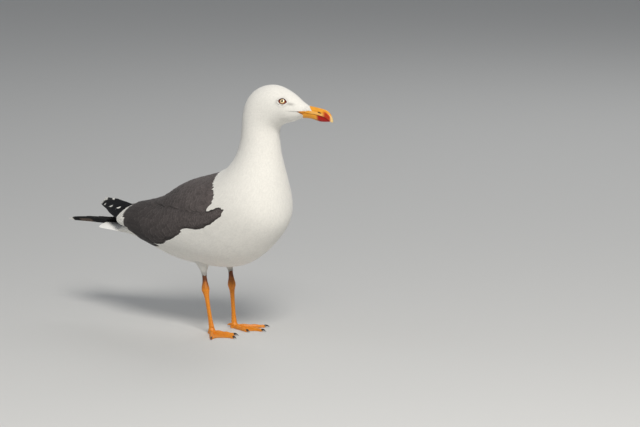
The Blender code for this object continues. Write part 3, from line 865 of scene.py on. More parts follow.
print("white coat")
coat = {
    # piece: from section, to section, lines of feathers round the body
    "pieces": {
        "coat_head": (0.06, 3.4, 96),
        "coat_nape": (3.4, 6.6, 104),
        "coat_neck": (6.6, 10.0, 112),
        "coat_breast": (10.0, 13.2, 150),
        "coat_belly": (13.2, 15.6, 156),
        "coat_vent": (15.6, 18.2, 110),
    },
    "length": (
        2.0, 2.9, 3.7, 4.4, 5.4, 6.8, 8.5, 10.0, 11.5, 13.0,
        15.0, 16.5, 18.0, 19.5, 21.0, 23.0, 25.0, 26.0, 24.0, 20.0,
    ),  # at each section
    "overlap": 5.0,  # how many feathers lie over each other
    "jitter": 0.45,
    "ahead": 2.5,  # how far ahead of the folded wing the white ends
    "past": 1.6,  # and how far the last ones reach over the dark feathers
    "corner": 7.5,  # how much further they do at the flank, under the wing's rear
    "notch": (1.50, 0.13, 9.5),  # the white notch over the wrist: its angle, half its height, its depth
    "width": 2.1,  # of a feather, in spaces between the lines of feathers
}


def coatLength(u):
    return np.interp(u, np.arange(len(coat["length"])), coat["length"])


for name, (first, last, columns) in coat["pieces"].items():
    apart = 2.0 * math.pi / columns
    lines = (np.arange(columns) + 0.5) / columns * 2.0 * math.pi - math.pi
    fine = np.linspace(first, last, 200)
    spacing = coatLength(fine[1:]) / coat["overlap"]
    rootU, rootAngle = rootsDown(flesh, fine, lines, spacing, apart, coat["jitter"], 0.5)
    place = fleshStraight(rootU, rootAngle)
    x, z = place[:, 0], place[:, 2]
    length = coatLength(rootU) * dice.uniform(0.75, 1.2, len(rootU))
    _, cover, _ = foldedOver(rootU, rootAngle)
    clear = (aroundEye(x, z, eyes["ring"]) > 1.1) & (aroundEye(x - 0.8 * length, z, eyes["ring"]) > 1.12)
    keep = (cover < 0.15) & ((rootU > 5.5) | (clear & ~bareFace(x, z)))
    rootU, rootAngle, length = rootU[keep], rootAngle[keep], length[keep]
    spread = paceAcross(flesh, rootU, rootAngle)
    lateral = spread * 2.0 * math.pi / columns
    # how far under the wing's edge a feather starts
    below = np.clip(abs(rootAngle) - tableAt(folded["wingEdge"], rootU), 0.0, 2.0)
    nearWing = bell(below / 0.28) * ease((rootU - 12.3) / 1.0) * ease((14.7 - rootU) / 0.8)
    yaw = -np.sign(rootAngle) * (0.14 * nearWing) + dice.normal(0.0, 0.06, len(rootU))
    # a feather that would run far over the dark ones starts further forward, so that the edge stays crisp
    reach = paceAlong(flesh, rootU, rootAngle)
    share = np.linspace(0.0, 1.0, 15)
    notchAngle, notchHalf, notchDeep = coat["notch"]
    notch = bell((abs(rootAngle) - notchAngle) / notchHalf) * (rootU < 12.8)
    ahead = coat["ahead"] - notchDeep * notch
    pathU = (rootU + ahead / reach)[:, None] + share * (length / reach)[:, None]
    pathAngle = rootAngle[:, None] + share * (length * np.sin(yaw) / spread)[:, None]
    over = foldedOver(pathU, pathAngle)[1] > 0.15
    free = np.where(over.any(axis=1), share[over.argmax(axis=1)], 9.0) * length
    past = coat["past"] * dice.uniform(0.0, 1.5, len(rootU)) * (1.0 - ease((rootU - 14.8) / 0.6))
    meets = rootU + np.minimum(free, length) / reach  # where it comes to the dark feathers
    atCorner = ease((meets - 14.4) / 0.5) * ease((16.1 - meets) / 0.5) * (abs(rootAngle) > 1.4)
    past = past + coat["corner"] * atCorner
    rootU = rootU - np.maximum(length - free - past, 0.0) / reach
    # and under the flank, one whose middle still lies over the dark wing is left out
    _, laid, _ = foldedOver(rootU + 0.35 * length / reach, rootAngle)
    keep = (laid < 0.5) | (rootU < 13.2)
    rootU, rootAngle, length = rootU[keep], rootAngle[keep], length[keep]
    yaw, lateral, nearWing = yaw[keep], lateral[keep], nearWing[keep]

    count, depth = len(rootU), coatDepth(rootU)
    beforeMantle = ease((rootU - 10.2) / 0.5) * (rootU < 13.0)  # the last white rows lie over the first dark
    high = depth * dice.uniform(0.98, 1.0, count) + 0.3 * nearWing + 0.3 * beforeMantle
    bright = dice.uniform(0.97, 1.015, count)[:, None, None, None]
    width = np.maximum(lateral * coat["width"], 1.0) * dice.uniform(0.85, 1.15, count)
    vanes = layVanes(
        whiteOver, rootU, rootAngle, length, width, 0.1 * depth, high,
        bending if last > 9.0 else small, skinMap(rootU, rootAngle),
        lambda s, t, u, angle: whiteAt(u, angle) * bright * (0.93 + 0.07 * s**0.5)[..., None],
        yaw, dice.normal(0.0, 0.01, count), tipFrom=0.45, blunt=0.02, steps=flesh, rise=0.2, smooth=12.0,
    )
    ridden(joined(name, [vanes], whiteCoat), "white_plumage")
    print(name, count, "feathers")

print("mantle and wings")


def slateTint(bright, tipWhite=0.0):
    # dark along the shaft, paler at the fringe, with a white end on some
    def tint(s, t, p, q):
        fringe = ease((abs(t) - 0.55) / 0.45) * 0.5 + ease((s - 0.86) / 0.14) * 0.6
        base = mix(slate, slateEdge, fringe) * np.asarray(bright).reshape(-1, 1, 1, 1)
        end = np.asarray(tipWhite, float).reshape(-1, 1, 1) * np.ones_like(s)
        return mix(base, white * 0.95, ease((s - (1.0 - end)) / 0.03) * (end > 0.0))

    return tint


def lengthAt(group, s):
    return np.interp(s, np.linspace(0.0, 1.0, len(group["length"])), group["length"])


mantle = {
    "columns": 21, "length": (13.0, 18.0, 24.0, 30.0, 36.0, 44.0), "overlap": 3.0, "width": 1.75,
    "jitter": 0.15,
}
across = (np.arange(mantle["columns"]) + 0.5) / mantle["columns"] * 2.0 - 1.0
apart = 2.0 / mantle["columns"]
fine = np.linspace(-0.045, 0.93, 300)
spacing = lengthAt(mantle, fine[1:]) / mantle["overlap"]
rootS, rootT = rootsDown(mantleOver, fine, across, spacing, apart, mantle["jitter"])
keep = rootS > -0.01 + 0.055 * ease((abs(rootT) - 0.65) / 0.25)
rootS, rootT = rootS[keep], rootT[keep]
count = len(rootS)
lateral = paceAcross(mantleOver, rootS, rootT) * apart
length = lengthAt(mantle, rootS) * dice.uniform(0.92, 1.08, count)
u = mantleFront(rootT) * (1.0 - rootS) + folded["mantleRear"] * rootS
root = skinMap(u, rootT * tableAt(folded["mantleEdge"], u))
high = folded["mantleDepth"] * dice.uniform(0.8, 1.0, count)
# painted light and shade: lighter along the front and the middle line of the back, darker behind at the sides
bright = 1.22 - 0.5 * ease((rootS - 0.15) / 0.35) * ease((abs(rootT) - 0.2) / 0.4)
bright = dice.uniform(0.85, 1.15, count) * bright
vanes = layVanes(
    mantleOver, rootS, rootT, length, np.maximum(lateral * mantle["width"], 9.0), 0.2, high,
    large, root, slateTint(bright),
    dice.normal(0.0, 0.06, count), dice.normal(0.0, 0.02, count), rise=0.7,
)
ridden(joined("coat_mantle", [vanes], slateCoat), "slate_plumage")

wings = {
    "columns": 12, "length": (10.0, 12.0, 15.0, 20.0, 27.0, 36.0, 46.0, 52.0), "overlap": 3.0, "width": 1.8,
    "jitter": 0.15,
    "tertials": 7, "tertialLength": 70.0, "tertialWidth": 26.0, "tertialPast": 19.0,
    "secondaries": 5, "secondaryLength": 62.0, "secondaryWidth": 22.0,
}


def paintedWingShade(s, t):
    # painted shade: darker towards the rear, where the wing lies in shade, and under the mantle's edge, where
    # its shadow falls
    return (1.12 - 0.62 * ease((s - 0.1) / 0.8)) * (0.72 + 0.28 * ease(t / 0.3))


def wingRoot(s, t, sign):
    u, angle = wingPlace(s, t)
    return skinMap(u, sign * angle)


for side, sign in sides.items():
    ground = wingOver(sign)
    across = (np.arange(wings["columns"]) + 0.45) / wings["columns"]
    apart = 1.0 / wings["columns"]
    fine = np.linspace(-0.04, 0.80, 300)
    spacing = lengthAt(wings, fine[1:]) / wings["overlap"]
    rootS, rootT = rootsDown(ground, fine, across, spacing, apart, wings["jitter"])
    lateral = paceAcross(ground, rootS, rootT) * apart
    length = lengthAt(wings, rootS) * dice.uniform(0.92, 1.08, len(rootS))
    length = np.minimum(length, (0.93 + 0.06 * rootT - rootS) * paceAlong(ground, rootS, rootT))
    placeU, _ = wingPlace(rootS, rootT)
    underWhite = (rootT > 0.87) & (placeU > 14.5) & (placeU < 16.1)  # the flank's feathers lie over this part
    keep = (length > 9.0) & (rootS > 0.02 - 0.03 * ease((rootT - 0.3) / 0.4)) & ~underWhite
    rootS, rootT, lateral, length = rootS[keep], rootT[keep], lateral[keep], length[keep]
    count = len(rootS)
    high = folded["wingDepth"] * dice.uniform(0.8, 1.0, count)
    bright = dice.uniform(0.85, 1.15, count) * paintedWingShade(rootS, rootT)
    coverts = layVanes(
        ground, rootS, rootT, length, np.maximum(lateral * wings["width"], 8.0), 0.1, high,
        large, wingRoot(rootS, rootT, sign), slateTint(bright),
        dice.normal(0.0, 0.05, count), dice.normal(0.0, 0.02, count), rise=0.8,
    )
    # the long tertials and secondaries, whose white ends make the pale bar across the folded wing
    k = np.arange(wings["tertials"])
    tipT = 0.03 + 0.085 * k
    tertialT = tipT + 0.02
    beyond = wings["tertialPast"] * np.sin(0.5 * math.pi * (k + 1.0) / len(k))
    rootS = 1.0 + (beyond - wings["tertialLength"]) / paceAlong(ground, 0.899, tipT)
    whiteEnd = (7.5 + 2.6 * k) / wings["tertialLength"]
    tertials = layVanes(
        ground, rootS, tertialT, wings["tertialLength"], wings["tertialWidth"], 0.8,
        folded["wingDepth"] + 1.2 - 0.12 * k, quill, wingRoot(rootS, tertialT, sign),
        # painted shade: the tertials at 0.6 of the slate, for the shade at the wing's rear
        slateTint(dice.uniform(0.9, 1.1, len(k)) * 0.6, whiteEnd), tipFrom=0.8, blunt=0.2,
    )
    k = np.arange(wings["secondaries"])
    tipT = 0.62 + 0.09 * k
    rootS = 0.995 - wings["secondaryLength"] / paceAlong(ground, 0.899, tipT)
    secondaries = layVanes(
        ground, rootS, tipT, wings["secondaryLength"], wings["secondaryWidth"], 0.5,
        folded["wingDepth"] + 0.5, quill, wingRoot(rootS, tipT, sign),
        # painted shade: the secondaries at 0.5 of the slate, for the shade under the coverts
        slateTint(dice.uniform(0.9, 1.1, len(k)) * 0.5), tipFrom=0.8, blunt=0.25,
    )
    ridden(joined(f"coat_wing_{side}", [coverts, tertials, secondaries], slateCoat), "slate_plumage")
    print("coat_wing", side, count, "coverts")

print("wing tips")
blades = {
    # top line and bottom line of the folded primaries, and the length they are measured over
    "right": (
        ((-172, -12, 167), (-200, -4, 168), (-228, 6, 165), (-254, 16, 163), (-272, 24, 158)),
        ((-172, -31, 142), (-200, -24, 142), (-229, -8, 144.5), (-255, 10, 147.5), (-275, 25, 151)),
        111.5,
    ),
    "left": (
        ((-172, 14, 158), (-200, 4, 143.5), (-228, -9, 139), (-258, -20, 138.5), (-288, -28, 135.5)),
        ((-172, 32, 141), (-200, 20, 132), (-228, 5, 129.5), (-258, -9, 129), (-288, -24, 132)),
        128.5,
    ),
}
primaries = {
    # from the innermost feather out: how far its tip reaches along the blade and how high across it,
    # and how far the white runs back from it along the sloping upper edge
    "right": (
        (120.0, -4.2, 40.0), (90.0, -3.0, 11.0), (63.0, 11.5, 10.0), (60.0, -1.0, 12.0), (33.0, 1.0, 12.0),
    ),
    "left": ((129.0, 1.5, 9.0), (109.0, 3.5, 2.0), (90.0, 4.5, 2.0), (70.0, 3.0, 2.0), (46.0, 2.0, 2.0)),
    "start": -12.0,
    # the folded bundle's upper and lower edges: along the blade, across it
    "top": {
        "right": (
            (-12.0, 14.0), (20.0, 15.5), (45.0, 15.5), (56.0, 13.8),
            (78.0, 10.5), (100.0, 6.0), (120.0, -2.0),
        ),
        "left": (
            (-12.0, 9.0), (50.0, 11.5), (67.0, 13.0), (89.0, 11.5),
            (114.0, 8.0), (124.0, 5.4), (129.0, 1.7),
        ),
    },
    "low": {
        "right": ((-12.0, -16.0), (18.0, -14.5), (37.0, -11.0), (71.0, -6.0), (120.0, -4.8)),
        "left": (
            (-12.0, -13.0), (40.0, -12.5), (63.5, -10.0), (82.5, -5.5),
            (98.5, -3.4), (122.0, -2.6), (129.0, 1.3),
        ),
    },
    "root": {"right": 0.0, "left": -1.0},
    "slope": {"right": 0.45, "left": 0.5},  # of a tip's upper edge
    "drop": 3.0,  # how fast its lower edge rounds off
    "apart": 0.55,  # between one and the next
    "depth": {"right": 2.5, "left": 0.7},  # how wide the white is along the edge
    "end": {"right": 2.6, "left": 6.8},  # and how deep at the end of the longest
}


def bladeOver(side):
    # p runs along the wing tip in millimetres from its root, q goes across it in millimetres from its middle
    top, low, scale = blades[side]
    count = len(top) - 1.0

    def ground(p, q, lift=0.0):
        p, q, lift = arrays(p, q, lift)
        f = p / scale * count
        a, b = splineAt(top, f), splineAt(low, f)
        along = splineAt(top, f + 0.02) - splineAt(top, f - 0.02)
        return (a + b) / 2 + times(q, unit(a - b)) + times(lift, unit(np.cross(along, a - b)))

    return ground


def foldedPrimaries(side, sign):
    # each feather fills the bundle from its lower to its upper edge as far as its own tip, whose upper edge
    # slopes back and whose lower one is rounded; grid: feather, along it, round it
    tipP, tipQ, whiteFrom = (column[:, None, None] for column in np.array(primaries[side]).T)
    number = np.arange(len(tipP))[:, None, None]
    s, t, bulge = formArrays(primary)
    place = primaries["start"] + (tipP - primaries["start"]) * s
    left = tipP - place
    middle = primaries["root"][side] * (1.0 - s) + tipQ * s
    top = np.minimum(heightOn(primaries["top"][side], place), tipQ + primaries["slope"][side] * left)
    low = np.maximum(heightOn(primaries["low"][side], place), tipQ - primaries["drop"] * np.sqrt(left))
    above, below = np.maximum(top - middle, 0.12), np.maximum(middle - low, 0.12)
    layer = sign * (number - (len(tipP) - 1) / 2) * primaries["apart"]
    lift = layer + primary["thick"] * bulge + primary["camber"] * 20.0 * (1.0 - t * t) * (above / 16.0)
    points = bladeOver(side)(place, middle + np.where(t > 0.0, t * above, t * below), lift)
    s, t, left, bulge = (np.broadcast_to(v, points.shape[:-1]) for v in (s, t, left, bulge))
    # black, paler at the edges, brown-grey on the longest one's underside, with white along the tip
    first = number == 0
    tint = mix(black, black * 1.8, ease((abs(t) - 0.6) / 0.4))
    panel = ease((place - 90.0) / 5.0) * ease((113.0 - place) / 3.0) * ease((0.45 - t) / 0.25)
    tint = mix(tint, dusky, (side == "left") * first * panel)
    wide = primaries["depth"][side] * np.where(first, 1.5, 1.0)
    edge = (t > 0.0) * ease((wide - (1.0 - t) * above) / 1.0 + 0.5) * ease((whiteFrom - left) / 3.0)
    end = ease((np.where(first, primaries["end"][side], 0.6) - left) / 1.2 + 0.5)
    # painted light: the white is brighter than the plumage's own white, as if in sun
    tint = mix(tint, white * 1.1, np.maximum(edge, end))
    patch = 0.003 * stacked(0.45 * t, 0.9 * (s - 0.5) + 0.12 * bulge)
    patch = patch + stacked(0.2 + (side == "left") * 0.05 + 0.1 * number, 0.5)
    vane = 0.1 * stacked(abs(t) * above, place - primaries["start"])
    maps = {"OFBake": patch.reshape(-1, 2), "vane": vane.reshape(-1, 2)}
    faces = vaneFaces(points.shape[:3])
    return meshPiece(f"primary_feathers_{side}", points, blackCoat, tint, faces, maps, sharp=50.0)


for side, sign in sides.items():
    ridden(foldedPrimaries(side, sign), "black_plumage", f"primaries_{side}")

print("tail")
tail = {
    "feathers": 12,
    "length": 74.0,
    "width": 15.0,
    "apart": 2.4,  # between one root and the next
    "spread": 4.3,  # and between one tip and the next
    "rise": 0.065,
    # painted light: whiter than the rest of the white plumage, to make up for the wing's shadow over the tail
    "white": (0.97, 0.955, 0.92),
}


def tailOver(p, q, lift=0.0):
    p, q, lift = arrays(p, q, lift)
    return stacked(-160.0 - p, q, 124.2 + tail["rise"] * p + 1.3 * (1.0 - (q / 28.0) ** 2) + lift)


outermost = (tail["feathers"] - 1) / 2
place = np.arange(tail["feathers"]) - outermost
length = tail["length"] - 5.5 * (abs(place) / outermost) ** 2.2
yaw = np.arctan2(place * (tail["spread"] - tail["apart"]), tail["length"])
rectrices = layVanes(
    tailOver, np.zeros(tail["feathers"]), place * tail["apart"], length, tail["width"],
    -0.6, 1.0 - 0.28 * abs(place), quill, stacked(0.5 + 0.03 * place, 0.97), whiteTint(tail["white"]),
    yaw, tipFrom=0.86, blunt=0.35, patch=0.02,
)
ridden(joined("tail_feathers", [rectrices], whiteCoat), "white_plumage", "tail")

print("thigh coat")
rows, columns = 17, 26
for side in sides:
    f, q = crossed(np.linspace(0.28, 0.93, rows), around(columns))
    f = (f + dice.uniform(-0.012, 0.012, f.shape)).ravel()
    staggered = (np.arange(rows) % 2)[:, None] * math.pi / columns
    q = (q + staggered + dice.uniform(-0.04, 0.04, q.shape)).ravel()
    length, width = (np.interp(f, (0.3, 1.0), ends) for ends in ((9.0, 4.5), (5.4, 2.2)))
    # painted shade: the thigh's white feathers grey downwards into the shade under the belly
    base = mix(white * 0.9, greyWhite * 0.75, ease((f - 0.55) / 0.45))[:, None, None, :]
    root = stacked(0.25 + 0.5 * (side == "left") + 0.2 * q / 6.3 - 0.1, 0.005 + 0.045 * f)
    vanes = layVanes(
        thighGround[side], f, q, length, width, -0.5, 0.1, small, root, whiteTint(base, 0.88),
        dice.normal(0.0, 0.08, len(f)), smooth=6.0,
    )
    ridden(joined(f"coat_thigh_{side}", [vanes], whiteCoat), "white_plumage")

print("eyes")


def headSteps(u, angle):
    # a point of the unturned head, and how it moves with its section and with its angle
    tiny = 1e-4
    here = fleshStraight(u, angle)
    alongHead, roundHead = fleshStraight(u + tiny, angle) - here, fleshStraight(u, angle + tiny) - here
    return here, alongHead / tiny, roundHead / tiny


def headPlace(x, z):
    # the section and angle where the unturned flesh passes through x and z, by Newton's steps
    u, angle = np.full(np.shape(x), 3.0), np.full(np.shape(x), 1.2)
    for _ in range(14):
        here, du, da = headSteps(u, angle)
        det = du[..., 0] * da[..., 2] - da[..., 0] * du[..., 2]
        missX, missZ = x - here[..., 0], z - here[..., 2]
        u = u + np.clip((missX * da[..., 2] - da[..., 0] * missZ) / det, -0.8, 0.8)
        angle = angle + np.clip((du[..., 0] * missZ - missX * du[..., 2]) / det, -0.3, 0.3)
    return u, angle


eyeMaterial, tree, shader = newMaterial("eye", 0.12, Coat_Weight=1.0, Coat_Roughness=0.03)
tinted(tree, shader, noise(tree, 1500.0, 3.0), (0.8, 0.8, 0.8), (1.15, 1.15, 1.15))

lidMaterial, tree, shader = newMaterial("eye_ring_skin", 0.6, Specular_IOR_Level=0.25)
beads = cells(tree, 1600.0)
tinted(tree, shader, beads, (1.1, 1.1, 1.1), (0.75, 0.75, 0.75))
raised(tree, shader, beads, 0.4, 0.0002)

# the point of the head nearest the eye, by steps along the two directions of its surface
eyeMiddle = np.array(eyes["place"])
eyeU, eyeAngle = headPlace(eyeMiddle[0], eyeMiddle[2])
for _ in range(12):
    here, du, da = headSteps(eyeU, eyeAngle)
    miss = eyeMiddle - here
    eyeU, eyeAngle = eyeU + miss @ du / (du @ du) * 0.8, eyeAngle + miss @ da / (da @ da) * 0.8
overEye, eyeStepU, eyeStepAngle = headSteps(eyeU, eyeAngle)
eyeOut = unit(overEye - eyeMiddle)
eyeSunk = float(np.linalg.norm(overEye - eyeMiddle))  # how far its middle lies under the head's surface
eyeAhead = unit(np.cross(eyeOut, (0.0, 0.0, 1.0)))
eyeAhead = eyeAhead * np.sign(eyeAhead[0])
eyeUp = np.cross(eyeAhead, eyeOut)
eyeUp = eyeUp * np.sign(eyeUp[2])


def besideEye(ahead, upward, lift):
    # a point of the head that far ahead of the eye's middle and above it, over the head's own surface
    system = np.array([[eyeStepU @ way, eyeStepAngle @ way] for way in (eyeAhead, eyeUp)])
    steps = stacked(ahead, upward) @ np.linalg.inv(system).T
    return fleshStraight(eyeU + steps[..., 0], eyeAngle + steps[..., 1], lift)


for side, sign in sides.items():
    mirror = np.array([1.0, sign, 1.0])
    # the ball: rings of latitude from the pupil's middle to the back, the cornea a little raised
    away = np.concatenate([np.linspace(0.01, 1.2, 50), np.linspace(1.2, math.pi - 0.01, 24)[1:]])
    away, roundEye = crossed(away, around(64))
    radius = eyes["radius"] * (1.0 + 0.035 * bell(away / 0.5))
    points = eyeMiddle + times(radius * np.cos(away), eyeOut)
    points = points + times(radius * np.sin(away) * np.cos(roundEye), eyeAhead)
    points = points + times(radius * np.sin(away) * np.sin(roundEye), eyeUp)
    out = eyes["radius"] * np.sin(np.clip(away, 0.0, 1.5))
    tint = mix(*eyes["irisColours"], ease((out - 2.0) / 1.8))
    tint = mix(eyes["pupilColour"], tint, ease((out - eyes["pupil"]) / 0.25))
    tint = mix(tint, eyes["rimColour"], ease((out - eyes["iris"]) / 0.5))
    ball = meshPiece(f"eyeball_{side}", turnHead(points * mirror), eyeMaterial, tint)
    ridden(ball, "eye", f"eye_{side}")
    # the ring of bare skin: an oval section carried round between the lids' opening and the feathers,
    # over the ball where the ball stands prouder than the head
    roundRing, section = crossed(around(120), around(24))
    c, s = np.cos(roundRing), np.sin(roundRing)
    share = 0.5 + 0.5 * np.cos(section)
    ahead = eyes["opening"][0] * c * (1.0 - share) + eyes["ring"][0] * c * share
    upward = (eyes["opening"][1] * s - 0.3) * (1.0 - share) + eyes["ring"][1] * s * abs(s) ** 0.5 * share
    upward = upward + eyes["tilt"] * ahead
    ballLift = np.sqrt(np.maximum(eyes["radius"] ** 2 - ahead**2 - upward**2, 0.0)) - eyeSunk
    lift = np.maximum(ballLift + 0.12, -0.1) + (0.42 + 0.25 * np.sin(math.pi * share)) * np.sin(section)
    points = besideEye(ahead, upward, lift)
    tint = mix(*eyes["ringColours"], ease((share - 0.3) / 0.6))
    tint = mix(tint, eyes["browColour"], ease(s * 1.3) * 0.85)  # darker over the eye
    tint = mix(tint, eyes["lowerLidColour"], ease(-s * 1.6 - 0.5) * ease((0.75 - share) / 0.4) * 0.7)
    closed = [gridFaces(121, 24) % c.size]  # the last ring is the first one again
    ring = meshPiece(f"eye_ring_{side}", turnHead(points * mirror), lidMaterial, tint, closed)
    ridden(ring, "eye")

lashes = {"rows": (0.99, 1.06, 1.13, 1.21, 1.3), "apart": 0.6, "length": 1.9, "width": 1.0}
for side, sign in sides.items():
    # the smallest feathers, in rows round each ring of bare skin, lying back from its front corner
    sets = []
    for upper in (1.0, -1.0):

        def ground(p, q, lift=0.0):
            # p runs round the ring from its front corner, in radians; q is how many times the ring's size
            p, q, lift = arrays(p, q, lift)
            ahead = eyes["ring"][0] * q * np.cos(p)
            tall = eyes["ring"][1] * abs(np.sin(p)) ** 1.5 + 1.8 * (q - 1.0)
            points = besideEye(ahead, upper * tall + eyes["tilt"] * ahead, lift)
            return turnHead(points * np.array([1.0, sign, 1.0]))

        for k, row in enumerate(lashes["rows"]):
            count = int(math.pi * 6.0 * row / lashes["apart"])
            p = np.linspace(0.02, 2.62, count) + dice.uniform(-0.04, 0.04, count)
            bright = dice.uniform(0.97, 1.02, count)[:, None, None, None]
            roundEye = eyeAngle - 0.2 * upper * row * np.sin(p)
            root = skinMap(eyeU - 0.10 * row * np.cos(p), sign * roundEye)
            sets.append(layVanes(
                ground, p, np.full(count, row), lashes["length"] * (0.8 + 0.06 * k), lashes["width"],
                -0.35, 0.05 - 0.03 * k, small, root, whiteTint(mix(white, greyWhite, 0.12) * bright),
                yaw=0.1, rise=0.5, smooth=10.0,
            ))
    ridden(joined(f"coat_eye_{side}", sets, whiteCoat), "white_plumage")

print("bill")
bill = {
    "upper": (
        (160.6, 338.3, 154.6, 330.1, 7.2),
        (167.0, 337.9, 163.0, 328.9, 6.7),
        (175.0, 337.0, 172.0, 328.4, 6.0),
        (183.0, 336.0, 181.0, 327.3, 5.4),
        (190.5, 334.0, 188.6, 325.7, 4.8),
        (196.6, 329.8, 194.2, 323.0, 3.9),
        (200.2, 324.2, 198.3, 319.9, 2.6),
        (201.5, 318.9, 200.4, 318.2, 1.0),
    ),
    "lower": (
        (148.6, 320.3, 154.3, 329.4, 6.4),
        (158.0, 320.9, 162.0, 328.4, 6.1),
        (168.0, 320.1, 171.0, 327.9, 5.5),
        (178.5, 318.0, 180.0, 326.8, 4.9),
        (186.0, 318.0, 187.0, 325.2, 4.1),
        (192.5, 318.5, 192.8, 322.9, 2.9),
        (196.2, 319.1, 196.4, 320.9, 1.3),
    ),
    # heights, and how far forward the feathers run at each
    "feathered": {
        "upper": ((332.1, 333.2, 337.0, 338.6), (169.2, 168.5, 164.3, 160.8)),
        "lower": ((319.5, 322.0, 324.7, 327.5, 330.3), (150.5, 151.8, 153.8, 150.0, 145.0)),
    },
    "nostril": (181.0, 331.1, 3.3, 0.9),  # x, z, half length, half height
    "orange": (0.86, 0.38, 0.035),
    "pale": (0.86, 0.47, 0.12),  # along the upper mandible's cutting edge
    "red": (0.43, 0.005, 0.001),
    "horn": (0.78, 0.58, 0.26),
    # painted shade: near black for the inside of the nostril, which is only a shallow dip
    "inside": (0.02, 0.012, 0.008),  # of the nostril
    # painted shade: the lips are near black at the mouth's corner, where it tucks in under the feathers
    "lip": ((0.07, 0.006, 0.002), (0.72, 0.27, 0.02)),  # at the mouth's corner, at the bill
}


def billOver(rows, t, arc, lift=0.0):
    # half-round sections: the sine of the arc lifts from the mouth line to the outer line, its cosine
    # goes across
    x0, z0, x1, z1, half = np.moveaxis(splineAt(rows, t), -1, 0)
    rise = np.maximum(np.sin(arc), 0.0) ** 0.85
    reach = np.hypot(x0 - x1, z0 - z1)
    x = x1 + (x0 - x1) * rise + (x0 - x1) / reach * lift * rise
    z = z1 + (z0 - z1) * rise + (z0 - z1) / reach * lift * rise
    return stacked(x, np.cos(arc) * (np.maximum(half, 0.4) + lift), z)


def billFeathered(which, x, z, short=0.0):
    # where feathers run forward over the bill's base, less a little
    heights, ends = bill["feathered"][which]
    overMouth = z > heightOn(gape["above"], x) + 0.5 * short
    return (x < np.interp(z, heights, ends) - short) & ((which == "lower") | overMouth)


sockets = {"Coat_Weight": 0.14, "Coat_Roughness": 0.25, "Specular_IOR_Level": 0.3}
billMaterial, tree, shader = newMaterial("bill_horn", 0.42, **sockets)
place = addNode(tree, "ShaderNodeTexCoord").outputs["Object"]
long = addNode(tree, "ShaderNodeMapping", {"Vector": place, "Scale": (120.0, 500.0, 500.0)}).outputs["Vector"]
grain = noise(tree, 1.0, 6.0, long)
tinted(tree, shader, grain, (0.78, 0.72, 0.62), (1.15, 1.12, 1.1))
raised(tree, shader, grain, 0.2, 0.0003)

for which, begins in (("upper", -0.9), ("lower", -0.4)):
    rows = bill[which]
    last = len(rows) - 1.0
    t = np.concatenate([np.linspace(begins, last - 0.6, 70), np.linspace(last - 0.6, last, 16)[1:]])
    flat = np.linspace(0.0, 1.0, 9)[None, 1:-1, None]
    t, arc = crossed(t, np.linspace(0.0, math.pi, 41))
    points = billOver(rows, t, arc)
    x, z = points[..., 0], points[..., 2]
    nostril = np.zeros_like(x)
    if which == "upper":
        nx, nz, nl, nh = bill["nostril"]
        over = z - (nz - 0.22 * (x - nx))  # above a line through the nostril
        nostril = np.exp(-((((x - nx) / nl) ** 2 + (over / nh) ** 2) ** 1.5))
        groove = bell((over + 0.6) / 0.9) * ease((nx - x) / 3.0) * ease((x - 158.0) / 8.0)
        flare = bell(np.sin(arc) / 0.16)
        points = billOver(rows, t, arc, -1.3 * nostril - 0.35 * groove + 0.25 * flare)
    under = points[:, -1:, :] * (1.0 - flat) + points[:, :1, :] * flat
    points = np.concatenate([points, under], axis=1)
    x, z = points[..., 0], points[..., 2]
    nostril, arc = (np.pad(v, ((0, 0), (0, under.shape[1]))) for v in (nostril, arc))
    tint = np.ones(x.shape + (1,)) * bill["orange"]
    if which == "upper":
        ridge = np.sin(arc)
        tint = mix(tint, bill["pale"], ease((x - 160.0) / 12.0) * ease((0.5 - ridge) / 0.3))
        red = 0.92 * ease((x - 184.5) / 7.0) * (1.0 - 0.92 * ease((ridge - 0.62) / 0.3))
    else:
        red = ease((x - 174.5) / 5.5)
        # painted shade: the lower mandible is darker along its underside
        paintedShadeBeneath = ease((np.abs(arc - math.pi / 2) < 1.0) * (322.5 - z) / 3.0)
        tint = tint * (1.0 - 0.35 * paintedShadeBeneath)[..., None]
    tint = mix(tint, bill["red"], red)
    tint[billFeathered(which, x, z, 0.3)] = white
    tint = mix(tint, bill["horn"], ease((x - 197.2) / 2.6))
    # painted shade inside the nostril
    tint = mix(tint, bill["inside"], ease((nostril - 0.25) / 0.4))
    piece = meshPiece(f"{which}_mandible", turnHead(points), billMaterial, tint, sharp=60.0)
    ridden(piece, "bill_horn", f"bill_{which}")

# small feathers run forward over the bill's sides and its lower base
for which, high in (("upper", 0.32), ("lower", 0.3)):

    def ground(p, q, lift=0.0):
        # p runs back from the bill's base in millimetres, q round it
        return turnHead(billOver(bill[which], -np.asarray(p, float) / 8.0, q, lift))

    p, q = crossed(np.arange(-15.0, 4.0, 0.62), np.linspace(0.05, math.pi - 0.05, 27))
    p, q = (p + dice.uniform(-0.3, 0.3, p.shape)).ravel(), (q + dice.uniform(-0.05, 0.05, q.shape)).ravel()
    place = billOver(bill[which], -p / 8.0, q)
    keep = billFeathered(which, place[:, 0], place[:, 2])
    p, q = p[keep], q[keep]
    roundFace = np.where(q < math.pi / 2, 1.0, -1.0) * (1.2 + 0.6 * (which == "lower")) + 0.4 * np.cos(q)
    base = (white * dice.uniform(0.96, 1.02, len(p))[:, None])[:, None, None, :]
    vanes = layVanes(
        ground, p, q, dice.uniform(1.7, 2.4, len(p)), 1.15, -0.15, high, small,
        skinMap(-0.1 - 0.01 * p, roundFace), whiteTint(base), dice.normal(0.0, 0.15, len(p)),
        rise=0.4, smooth=10.0,
    )
    ridden(joined(f"coat_face_{which}", [vanes], whiteCoat), "white_plumage")

